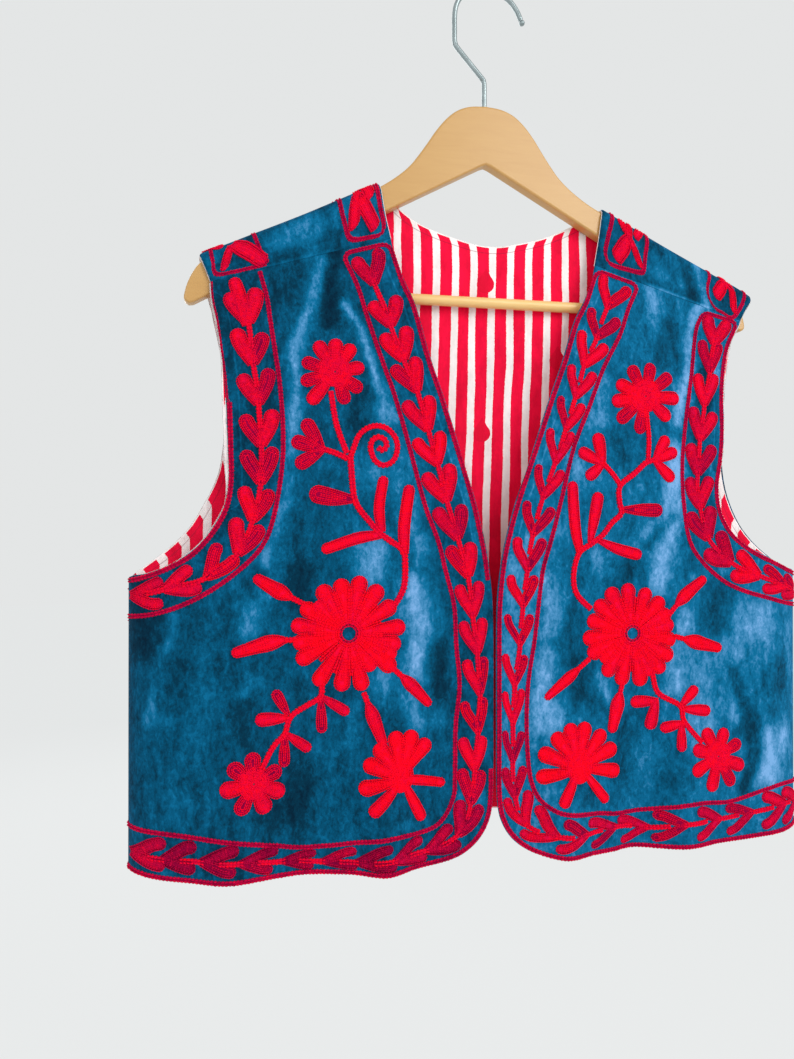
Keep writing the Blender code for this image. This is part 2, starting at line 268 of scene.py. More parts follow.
def place(surface, side, a, w, out):
    """Points at a height above the velvet's face, in millimetres."""
    point_of, sign = SURFACES[surface]
    a = np.clip(np.asarray(a, float), 0.0, SIDE_HALF_WIDTH)
    w = np.asarray(w, float)
    step = 0.05
    high = np.minimum(a + step, SIDE_HALF_WIDTH)
    low = np.maximum(a - step, 0.0)
    normal = np.cross(
        point_of(side, high, w) - point_of(side, low, w),
        point_of(side, a, w + step) - point_of(side, a, w - step),
    )
    normal *= side * sign / np.linalg.norm(normal, axis=-1, keepdims=True)
    return point_of(side, a, w) + normal * np.asarray(out, float)[..., None]


# ---------------------------------------------------------------- mesh helpers
def add_object(name, data):
    piece = bpy.data.objects.new(name, data)
    bpy.context.scene.collection.objects.link(piece)
    return piece


def new_object(name, points, faces, material, flat_faces=0, **values):
    """A closed mesh piece from points in millimetres, with one number per point under each name."""
    mesh = bpy.data.meshes.new(name)
    mesh.from_pydata((np.asarray(points) * MM).tolist(), [], [list(face) for face in faces])
    mesh.polygons.foreach_set("use_smooth", [k >= flat_faces for k in range(len(mesh.polygons))])
    mesh.materials.append(material)
    for key, numbers in values.items():
        layer = mesh.attributes.new(key, "FLOAT", "POINT")
        layer.data.foreach_set("value", np.asarray(numbers, np.float32).ravel())
    work = bmesh.new()
    work.from_mesh(mesh)
    bmesh.ops.delete(work, geom=[vertex for vertex in work.verts if not vertex.link_faces], context="VERTS")
    bmesh.ops.recalc_face_normals(work, faces=work.faces)
    work.to_mesh(mesh)
    work.free()
    piece = add_object(name, mesh)
    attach(piece, "root")
    return piece


# ---------------------------------------------------------------- panels
def seam_height(side, a):
    """Height of the shoulder seam on the front."""
    in_a, in_z, out_a, out_z = FRONT_ROWS[-1]
    out_a += arm_shift(side, out_z)
    z = in_z + (out_z - in_z) * (a - in_a) / (out_a - in_a)
    return z + tilt(side, z) + SEAM_HALF_GAP


def back_row_table(side):
    """Rows of one half of the back above the neckline, as carried heights."""
    rows = list(STRAP_ROWS)
    for degrees, *outs in STRAP_ARC:
        turn = RIDGE_RADIUS * math.radians(degrees)
        rows.append([x for a in outs for x in (a, ridge_centre(side, a) + turn)])
    for part, in_a, out_a in STRAP_FRONT:
        row = []
        for a in (in_a, out_a + part * arm_shift(side, FRONT_ROWS[-1][3])):
            centre = ridge_centre(side, a)
            row += [a, centre + math.pi * RIDGE_RADIUS + part * (centre - seam_height(side, a))]
        rows.append(row)
    return rows


def pick_rows(dense, step):
    """Rows about step apart, with close ones at both cut edges."""
    moved = np.diff(dense, axis=0)
    lengths = (np.hypot(moved[:, 0], moved[:, 1]) + np.hypot(moved[:, 2], moved[:, 3])) / 2.0
    reach = np.concatenate(([0.0], np.cumsum(lengths)))
    stations = np.linspace(0.0, reach[-1], max(2, int(round(reach[-1] / step))) + 1)
    stations = np.unique(np.round(np.concatenate((stations, EDGE_ROWS, reach[-1] - EDGE_ROWS)), 3))
    return np.stack([np.interp(stations, reach, dense[:, k]) for k in range(4)], axis=1)


# How far the lining reaches past the cut edge: at the front edge, and at the back's neck and straps.
FRONT_LIP = -0.9
STRAP_LIPS = (0.4, 0.6)
# Distances of the close rows from a cut edge.
EDGE_ROWS = np.array((0.35, 0.8, 1.5))
# How far it reaches past the armhole edges, on the fronts and on the back below the shoulder:
# height, distance.
ARM_LIPS = {-1: ((-395, 1), (-370, 3), (-320, 2.8), (-290, 1)), 1: ((-395, 1), (-290, 1))}
BACK_ARM_LIPS = {
    -1: ((-330, 0.5), (-280, 0.6)), 1: ((-449, 0), (-438, -1.5), (-330, -1.5), (-280, 0.6)),
}
# How far the back's armhole edge is drawn in behind the right front.
BACK_ARM_SHIFTS = {
    -1: ((-395, 0), (-370, -2.4), (-300, -2.6), (-262, 0)), 1: ((-395, 0), (-262, 0)),
}
SEAM_LAP = 0.3
# How far from a cut edge each layer's face turns in, and the wall that is left there.
VELVET_ROLL = 1.9
VELVET_EDGE = 0.05
LINING_ROLL = 1.4
LINING_EDGE = 0.1
# The fronts' half gap at the middle, and the droop of their hem between its corners.
FRONT_HALF_GAP = 0.9
HEM_DROOP = 2.5
HEM_DROOP_HEIGHT = 20.0
# Distance from an edge that stands for "not near it".
FAR = 100.0
# Heights between which the fronts' turned-in edges show a faint ridge, painted as a lighter line in the
# velvet.
FRONT_TURNED = (-450.0, -180.0)
ARM_TURNED = (-420.0, -225.0)
TURNED_FADE = 25.0

# Columns across and distance between rows, for each sheet.
MESH_STEPS = {
    ("front", "velvet"): (62, 3.4), ("front", "lining"): (26, 8.0),
    ("back", "velvet"): (40, 6.4), ("back", "lining"): (30, 8.5),
}


def column_shares(count):
    """Where the columns stand: close at the inner edge and round the side."""
    inner = np.array((0.0, 0.0016, 0.0036, 0.0068))
    middle = np.linspace(0.014, 0.85, count)
    turn = np.radians(np.linspace(5.0, 90.0, 10 + count // 8))
    outer = 1.0 - 0.15 * (1.0 - np.sin(turn))
    return np.concatenate((inner, middle, outer[:-1], (0.9984, 1.0)))


def spread(rows, shares, inner_over=0.0, outer_over=0.0):
    """Grids of a and w from rows; each edge may reach a few millimetres further."""
    length = np.hypot(rows[:, 2] - rows[:, 0], rows[:, 3] - rows[:, 1])[:, None]
    share = shares[None, :] * (1.0 + (inner_over + outer_over) / length) - inner_over / length
    a = rows[:, 0:1] + (rows[:, 2] - rows[:, 0])[:, None] * share
    w = rows[:, 1:2] + (rows[:, 3] - rows[:, 1])[:, None] * share
    return a, w


def edge_distance(a, w, border_a, border_w):
    """Distance of every point from the panel's cut edge."""
    stations = []
    border = np.stack((border_a, border_w), axis=1)
    for here, ahead in zip(border[:-1], border[1:]):
        count = max(1, int(np.hypot(*(ahead - here)) / 0.4))
        stations.append(here + (ahead - here) * np.linspace(0.0, 1.0, count, endpoint=False)[:, None])
    stations = np.concatenate(stations)
    tree = KDTree(len(stations))
    for k, (x, y) in enumerate(stations):
        tree.insert((x, y, 0.0), k)
    tree.balance()
    return np.array([tree.find((x, y, 0.0))[2] for x, y in zip(a.ravel(), w.ravel())]).reshape(a.shape)


def rolled(distance, reach, drop):
    """How far a face turns in towards a cut edge."""
    t = np.clip(distance / reach, 0.0, 1.0)
    return drop * (1.0 - np.sqrt(1.0 - (1.0 - t) ** 2))


def front_grid(side, layer):
    """Grids of a and w of a front, and every point's distance from the cut edge."""
    dense = spline(FRONT_ROWS, 10)
    dense[:, 0] = np.maximum(dense[:, 0], FRONT_HALF_GAP)
    dense[:, 2] = np.minimum(dense[:, 2] + arm_shift(side, dense[:, 3]), SIDE_HALF_WIDTH)
    columns, step = MESH_STEPS["front", layer]
    rows = pick_rows(dense, step)
    shares = column_shares(columns)
    lips = (0.0, 0.0) if layer == "velvet" else (FRONT_LIP, read_table(ARM_LIPS[side], rows[:, 3:4]))
    a, w = spread(rows, shares, *lips)
    hem = np.exp(-np.arange(len(rows)) * step / HEM_DROOP_HEIGHT)[:, None]
    w = w - HEM_DROOP * hem * np.sin(math.pi * np.clip(shares, 0.0, 1.0))[None, :]
    w = w + tilt(side, w)
    w[-1] += SEAM_LAP - SEAM_HALF_GAP if layer == "velvet" else -SEAM_HALF_GAP
    a = np.minimum(a, SIDE_HALF_WIDTH)
    outer = a[:, -1] < SIDE_HALF_WIDTH - 1.0
    border = (np.concatenate((a[::-1, 0], a[0])), np.concatenate((w[::-1, 0], w[0])))
    return a, w, np.minimum(edge_distance(a, w, *border), edge_distance(a, w, a[outer, -1], w[outer, -1]))


def turned_edge(a, w):
    """Distance from the turned-in stretches of the front and armhole edges, large elsewhere."""
    nearest = np.full(a.shape, FAR)
    for column, low, high in ((0, *FRONT_TURNED), (-1, *ARM_TURNED)):
        away = edge_distance(a, w, a[:, column], w[:, column])
        turned = fade(w, low, TURNED_FADE) * fade(w, high, -TURNED_FADE)
        nearest = np.minimum(nearest, away + 0.5 * FAR * (1.0 - turned))
    return nearest


def seam_reach(side, a):
    """Carried height of the shoulder seam on the back."""
    return 2.0 * ridge_centre(side, a) + math.pi * RIDGE_RADIUS - seam_height(side, a)


def reach_seam(side, a, w):
    """Let the straps' rows end on the seam all along it."""
    centre = ridge_centre(side, a)
    short = seam_reach(side, a[-1]) - w[-1]
    return w + short[None, :] * smooth((w - centre) / (w[-1] - centre[-1])[None, :])


def back_grids(layer):
    """Both halves of the back as front_grid gives them, and the number of rows up to the neckline."""
    body = spline(BACK_ROWS, 10)
    body[:, 0] = 0.0
    body[:, 2] = np.minimum(body[:, 2], SIDE_HALF_WIDTH)
    columns, step = MESH_STEPS["back", layer]
    lower = pick_rows(body, step)
    shares = column_shares(columns)
    halves = {}
    for side in (1, -1):
        dense = spline(back_row_table(side), 10)
        dense[:, 0] = np.maximum(dense[:, 0], 0.0)
        upper = pick_rows(dense, 0.62 * step)[1:]
        drawn = lower.copy()
        drawn[:, 2] += read_table(BACK_ARM_SHIFTS[side], lower[:, 3])
        lip = 0.0 if layer == "velvet" else read_table(BACK_ARM_LIPS[side], lower[:, 3:4])
        a_low, w_low = spread(drawn, shares, 0.0, lip)
        a_up, w_up = spread(upper, shares, *((0.0, 0.0) if layer == "velvet" else STRAP_LIPS))
        a = np.minimum(np.concatenate((a_low, a_up)), SIDE_HALF_WIDTH)
        w = np.concatenate((w_low, reach_seam(side, a_up, w_up)))
        neck = len(lower) - 1
        outer = a[:, -1] < SIDE_HALF_WIDTH - 1.5
        distance = edge_distance(a, w, a[0], w[0])
        for edge in ((a[neck:, 0], w[neck:, 0]), (a[outer, -1], w[outer, -1])):
            distance = np.minimum(distance, edge_distance(a, w, *edge))
        halves[side] = (a, w, distance)
    return halves, len(lower)


def grid_faces(numbers):
    """Quads of a grid of point numbers."""
    return np.stack((
        numbers[:-1, :-1].ravel(), numbers[:-1, 1:].ravel(),
        numbers[1:, 1:].ravel(), numbers[1:, :-1].ravel(),
    ), axis=1)


def closed_sheet(outer, inner, quads):
    """Two faces of a cloth joined round every cut edge."""
    count = len(outer)
    starts = quads.ravel()
    ends = np.roll(quads, -1, axis=1).ravel()
    codes = starts * count + ends
    open_edges = ~np.isin(codes, ends * count + starts)
    here, there = starts[open_edges], ends[open_edges]
    walls = np.stack((there, here, here + count, there + count), axis=1)
    faces = np.concatenate((quads, quads[:, ::-1] + count, walls))
    return np.concatenate((outer, inner)), faces


def layer_faces(surface, side, layer, a, w, distance):
    """Outer and inner face points of a layer, rolled in or out at its cut edges."""
    if layer == "velvet":
        outs = (-rolled(distance, VELVET_ROLL, VELVET_WALL - VELVET_EDGE), np.full(a.shape, -VELVET_WALL))
    else:
        outs = (np.full(a.shape, -LINING_START),
                rolled(distance, LINING_ROLL, LINING_WALL - LINING_EDGE) - (LINING_START + LINING_WALL))
    return [place(surface, side, a, w, out).reshape(-1, 3) for out in outs]


def build_front_layer(name, side, layer, material):
    a, w, distance = front_grid(side, layer)
    numbers = np.arange(a.size).reshape(a.shape)
    points, faces = closed_sheet(*layer_faces("front", side, layer, a, w, distance), grid_faces(numbers))
    values = {"across": side * a, "down": w, "rim": distance}
    if layer == "velvet":
        # the pile's light and dark strokes, partly painted highlights and shade of the folds
        values.update(rim=turned_edge(a, w), nap=front_nap_and_sheen(side, a, w))
    values = {key: np.tile(value.ravel(), 2) for key, value in values.items()}
    return new_object(name, points, faces, material, **values)


def build_back_layer(name, layer, material):
    halves, shared_rows = back_grids(layer)
    outer, inner, quads = [], [], []
    values = {"across": [], "down": [], "rim": []}
    if layer == "velvet":
        values["nap"] = []
        naps_and_sheen = {side: back_nap_and_sheen(side, *halves[side][:2]) for side in (-1, 1)}
    centre_numbers = None
    start = 0
    for side, (a, w, distance) in halves.items():
        numbers = start + np.arange(a.size).reshape(a.shape)
        start += a.size
        for points, part in zip((outer, inner), layer_faces("back", side, layer, a, w, distance)):
            points.append(part)
        values["across"].append((side * a).ravel())
        values["down"].append(w.ravel())
        values["rim"].append(distance.ravel() + (FAR if layer == "velvet" else 0.0))
        if layer == "velvet":
            values["nap"].append(naps_and_sheen[side].ravel())
        # the halves share the points of the middle line, up to the neckline
        if centre_numbers is None:
            centre_numbers = numbers[:shared_rows, 0].copy()
        else:
            numbers[:shared_rows, 0] = centre_numbers
        face = grid_faces(numbers)
        quads.append(face if side > 0 else face[:, ::-1])
    points, faces = closed_sheet(*[np.concatenate(parts) for parts in (outer, inner, quads)])
    values = {key: np.tile(np.concatenate(parts), 2) for key, parts in values.items()}
    return new_object(name, points, faces, material, **values)


# ---------------------------------------------------------------- chain stitch
LINK = 2.5
OUTLINE_LINK = 1.6
LOBE_LINK = 1.95
ROW_PITCH = 2.15
OPEN_PITCH = 2.6
LINE_WIDTH = 3.6
EDGE_LINE_WIDTH = 3.8
STEM_WIDTH = 4.1
PAD_CROWN = 0.55
PAD_SUNK = 0.25
AXIS_STATIONS = 25
PAD_STEP = 3
BED_STEP = 3.2
BED_SHARE = 0.43
# How much darker a line's bed is than its strands: painted shade between them.
BED_SHADE = 0.2
PAD_SHARES = np.linspace(-1.0, 1.0, 5)
GRAIN_RINGS = ((-0.5, 0.85), (0.45, 1.0))
GRAIN_PROFILE = ((-1.0, 0.0), (0.0, 1.05), (1.0, 0.0))
# A grain of wool: how far it leans from its row, its length as a share of a link, its height as a
# share of the row's width, how deep it is set, and how much all that and its tone may differ.
GRAIN_LEAN = 0.16
GRAIN_LENGTH = 0.64
GRAIN_HEIGHT = 0.36
GRAIN_SET = 0.12
LEAN_SPREAD = 0.04
OFFSET_SPREAD = 0.05
HEIGHT_SPREAD = 0.06
TONE_SPREAD = 0.045
# How the two strands of a link stand apart: offset and half width, as shares of the row's width.
CLOSED_CHAIN = (0.26, 0.275)
OPEN_CHAIN = (0.27, 0.25)
# Tones of the wool: the ground under open rows, dark as painted shade between the rows; the borders' lines;
# and how much darker the outermost row of a lobe is, as painted shade where it rolls down.
SHADED_GROUND_TONE = 0.28
LINE_TONE = 0.57
OUTLINE_SHADE = 0.05


def grain_template():
    """A low rice-grain shape: unit points (along, across, up) and its triangles."""
    points = [(-1.0, 0.0, 0.15)]
    for along, scale in GRAIN_RINGS:
        points += [(along, across * scale, up * scale) for across, up in GRAIN_PROFILE]
    points.append((1.0, 0.0, 0.15))
    count = len(GRAIN_PROFILE)
    faces = []
    for k in range(count):
        near, near_after = 1 + k, 1 + (k + 1) % count
        far, far_after = near + count, near_after + count
        faces += [(0, near, near_after), (near, far, far_after), (near, far_after, near_after),
                  (2 * count + 1, far_after, far)]
    return np.array(points), np.array(faces)


def read_path(points, reach, at):
    """Points at given distances along a polyline."""
    return np.stack([np.interp(at, reach, points[:, k]) for k in (0, 1)], axis=-1)


def path_reach(points):
    """Distance along a polyline at each of its points."""
    return np.concatenate(([0.0], np.cumsum(np.hypot(*np.diff(points, axis=0).T))))


def unit(vectors):
    """The same directions at length 1."""
    return vectors / np.maximum(np.linalg.norm(vectors, axis=-1, keepdims=True), 1e-9)


def left_normal(heading):
    return unit(np.stack((-heading[:, 1], heading[:, 0]), axis=1))


def walk(points, link):
    """Even stations along a polyline: centres, headings and the step between them."""
    reach = path_reach(points)
    count = max(1, int(round(reach[-1] / link)))
    step = reach[-1] / count
    at = (np.arange(count) + 0.5) * step
    heading = read_path(points, reach, at + 0.3 * step) - read_path(points, reach, at - 0.3 * step)
    return read_path(points, reach, at), unit(heading), step


def lobe_ring(points, width, shape, depth):
    """A lobe taken in by depth: axis points, left normals and half widths, closer at its round end."""
    foot, peak, straight, taper = shape
    points = np.asarray(points, float)
    reach = path_reach(points)
    length = reach[-1]
    at = (length - depth) * np.sin(np.linspace(0.0, math.pi / 2.0, AXIS_STATIONS))
    axis = read_path(points, reach, at)
    part = np.clip(at / (peak * length), 0.0, 1.0)
    swell = part if straight else np.sin(math.pi / 2.0 * part)
    slim = 1.0 - taper * np.clip((at / length - peak) / (1.0 - peak), 0.0, 1.0)
    body = width / 2.0 * (foot + (1.0 - foot) * swell) * slim
    tip = width / 2.0 * (1.0 - taper)
    past = np.clip(at - (length - tip), 0.0, None) / max(tip - depth, 0.01)
    half = (body - depth) * np.sqrt(np.clip(1.0 - past**2, 0.0, 1.0))
    return axis, left_normal(np.gradient(axis, at, axis=0)), half


class Stitching:
    """Rows of chain stitch and the padding under them, on one side of one panel."""

    def __init__(self, surface, side):
        self.surface = surface
        self.side = side
        self.rows = []
        self.pads = []

    def row(self, points, width, tone, lift=0.0, chain=CLOSED_CHAIN, link=LINK):
        self.rows.append((np.asarray(points, float), width, tone, lift, chain, link))

    def line(self, points, width, tone, lift=0.0, chain=CLOSED_CHAIN):
        """A row on a narrow bed of its own, so that no ground shows between its strands; the bed is darker,
        as painted shade.
        """
        points = np.asarray(points, float)
        reach = path_reach(points)
        at = np.linspace(0.0, reach[-1], max(3, int(reach[-1] / BED_STEP)))
        axis = read_path(points, reach, at)
        normal = left_normal(np.gradient(axis, axis=0))
        self.pads.append((axis, normal, np.full(len(at), BED_SHARE * width), tone - BED_SHADE))
        self.row(points, width, tone, lift, chain)

    def border_line(self, points, width):
        self.line(points, width, LINE_TONE, 0.0, OPEN_CHAIN)

    def lobe(self, points, width, tone, shape, open_rows=False):
        """A petal, leaf or half heart: rows laid one inside the other over a low pad."""
        pitch = OPEN_PITCH if open_rows else ROW_PITCH
        row_width = OPEN_PITCH - 0.35 if open_rows else ROW_PITCH + 0.2
        axis, normal, half = lobe_ring(points, width, shape, 0.0)
        # the pad shows between the rows, darker than them as painted shade
        pad_shade_tone = min(tone - 0.1, SHADED_GROUND_TONE) if open_rows else tone - 0.1
        self.pads.append((axis[::PAD_STEP], normal[::PAD_STEP], half[::PAD_STEP], pad_shade_tone))
        depth = pitch / 2.0
        while width / 2.0 - depth > 0.3 * pitch:
            axis, normal, half = lobe_ring(points, width, shape, depth)
            keep = half >= 0.0
            sideways_step = normal[keep] * half[keep, None]
            loop = np.concatenate((axis[keep] + sideways_step, (axis[keep] - sideways_step)[::-1]))
            # the outermost row is darker: painted shade where the lobe rolls down
            outline = depth < pitch
            if keep.sum() > 2:
                self.row(loop, row_width, tone - OUTLINE_SHADE if outline else tone, 0.7 * PAD_CROWN,
                         CLOSED_CHAIN, OUTLINE_LINK if outline else LOBE_LINK)
            depth += pitch
        left_over = width / 2.0 - depth + pitch
        inside = slice(AXIS_STATIONS // 5, int(0.7 * AXIS_STATIONS))
        if left_over > 0.8 * pitch:
            self.row(axis[inside], row_width, tone, PAD_CROWN, CLOSED_CHAIN, LOBE_LINK)

    def grains(self):
        """For both strands of each row: panel points, heights, tones and triangles of its grains."""
        template, triangles = grain_template()
        for path, width, tone, lift, (apart, half), link in self.rows:
            centres, heading, step = walk(path, link)
            lateral = left_normal(heading)
            count = len(centres)
            for hand in (-1.0, 1.0):
                lean = hand * GRAIN_LEAN + RNG.normal(0.0, LEAN_SPREAD, count)
                offset = hand * apart * width + RNG.normal(0.0, OFFSET_SPREAD, count)
                along = heading * np.cos(lean)[:, None] + lateral * np.sin(lean)[:, None]
                local = (
                    (centres + lateral * offset[:, None])[:, None, :]
                    + along[:, None, :] * (template[:, 0] * step * GRAIN_LENGTH)[None, :, None]
                    + left_normal(along)[:, None, :] * (template[:, 1] * width * half)[None, :, None]
                )
                high = GRAIN_HEIGHT * width * (1.0 + RNG.normal(0.0, HEIGHT_SPREAD, count))
                heights = template[None, :, 2] * high[:, None] + lift - GRAIN_SET
                tones = np.repeat(tone + RNG.normal(0.0, TONE_SPREAD, count), len(template))
                faces = np.arange(count)[:, None, None] * len(template) + triangles[None]
                yield local.reshape(-1, 2), heights.ravel(), tones, faces.reshape(-1, 3)

    def pad_shells(self):
        """The same for the low closed pads under filled shapes."""
        crown = np.sqrt(1.0 - PAD_SHARES**2)
        for axis, normal, half, tone in self.pads:
            half = np.maximum(half, 0.05)[:, None]
            local = (axis[:, None, :] + normal[:, None, :] * (half * PAD_SHARES)[:, :, None]).reshape(-1, 2)
            top = (PAD_CROWN + PAD_SUNK) * np.minimum(1.0, half / 2.5) * crown - PAD_SUNK
            numbers = np.arange(top.size).reshape(top.shape)
            both, faces = closed_sheet(local, local, grid_faces(numbers))
            heights = np.concatenate((top.ravel(), np.full(top.size, -PAD_SUNK - 0.2)))
            yield both, heights, np.full(len(both), tone), faces

    def build(self, name, material):
        parts = [*self.grains(), *self.pad_shells()]
        faces = []
        start = 0
        for local, *_, numbers in parts:
            faces += (numbers + start).tolist()
            start += len(local)
        local, heights, tones = [np.concatenate([part[k] for part in parts]) for k in range(3)]
        points = place(self.surface, self.side, local[:, 0], local[:, 1], heights)
        return new_object(name, points, faces, material, tone=tones)


# ---------------------------------------------------------------- motifs
# Lobe shapes: share of the width at the foot, where it is widest, whether it widens evenly, and
# how much it narrows again towards its tip.
LOBE_KINDS = {
    "club": (0.42, 0.72, False, 0.0), "finger": (0.66, 0.40, False, 0.08), "petal": (0.50, 0.74, False, 0.0),
    "wedge": (0.34, 0.80, True, 0.0), "fan": (0.42, 0.80, True, 0.0), "hub": (0.75, 0.50, False, 0.0),
    "spindle": (0.30, 0.34, False, 0.40), "heart": (0.66, 0.50, False, 0.0),
}


def leaf(work, points, width, tone=0.86, kind="club", open_rows=False):
    """One leaf or petal along a curve from its foot to its tip."""
    work.lobe(spline(points, 8), width, tone, LOBE_KINDS[kind], open_rows)


def stem(work, points, width, tone):
    """A stem: one wide row of chain."""
    work.line(spline(points, 8), width, tone, 0.15)


def ray(work, points, width, tone):
    """A spindle on a short neck, pointing away from a great flower."""
    path = spline(points, 10)
    neck = len(path) // 4
    stem(work, path[:neck + 2], 4.2, tone)
    work.lobe(path[neck:], width, tone, LOBE_KINDS["spindle"])


def around(centre, degrees, radius):
    angle = math.radians(degrees)
    return (centre[0] + radius * math.cos(angle), centre[1] + radius * math.sin(angle))


def ring(work, centre, radius, width, tone):
    circle = [around(centre, degrees, radius) for degrees in np.linspace(0.0, 360.0, 41)]
    work.row(circle, width, tone, PAD_CROWN)


def petal(work, centre, degrees, start, reach, *looks):
    leaf(work, (around(centre, degrees, start), around(centre, degrees, reach)), *looks)


def small_flower(work, centre, petals, width, tone):
    """A flower of separate petals round a full heart, each given by its direction and reach."""
    for degrees, reach in petals:
        open_rows = RNG.random() < 0.5
        petal(work, centre, degrees, PETAL_START, reach, width, tone + RNG.uniform(-0.04, 0.04),
              "petal", open_rows)
    turns = sorted(degrees % 360.0 for degrees, _ in petals)
    core = HUB_SHARE * sum(reach for _, reach in petals) / len(petals)
    for here, ahead in zip(turns, turns[1:] + [turns[0] + 360.0]):
        for degrees, share in ((here, 1.12), ((here + ahead) / 2.0, 0.92)):
            reach = share * core * RNG.uniform(0.92, 1.08)
            petal(work, centre, degrees, 0.5, reach, HUB_WIDTH, HUB_TONE)


def great_flower(work, centre, petals, hole):
    """The round flower: wedge petals that touch for most of their length round a small hole."""
    for degrees, reach in petals:
        tone = GREAT_TONE + RNG.uniform(-0.06, 0.06)
        petal(work, centre, degrees, hole + 1.0, reach, GREAT_WIDTH * RNG.uniform(0.97, 1.08), tone, "wedge")
    for (here, reach), (ahead, other) in zip(petals, petals[1:] + petals[:1]):
        between = here + (ahead - here) % 360.0 / 2.0
        gap_reach = RNG.uniform(0.58, 0.82) * min(reach, other)
        ends = (around(centre, between, hole + 5.0), around(centre, between, gap_reach))
        work.line(ends, 3.4, GREAT_TONE, PAD_CROWN)
    ring(work, centre, hole + 0.4, 2.6, 0.7)
    ring(work, centre, hole + 2.6, 2.6, 0.92)


PETAL_START = 4.0
# The full heart of a small flower: reach as a share of the petals', width and tone of its lobes.
HUB_SHARE = 0.5
HUB_WIDTH = 6.6
HUB_TONE = 0.91
GREAT_WIDTH = 11.9
GREAT_TONE = 0.97
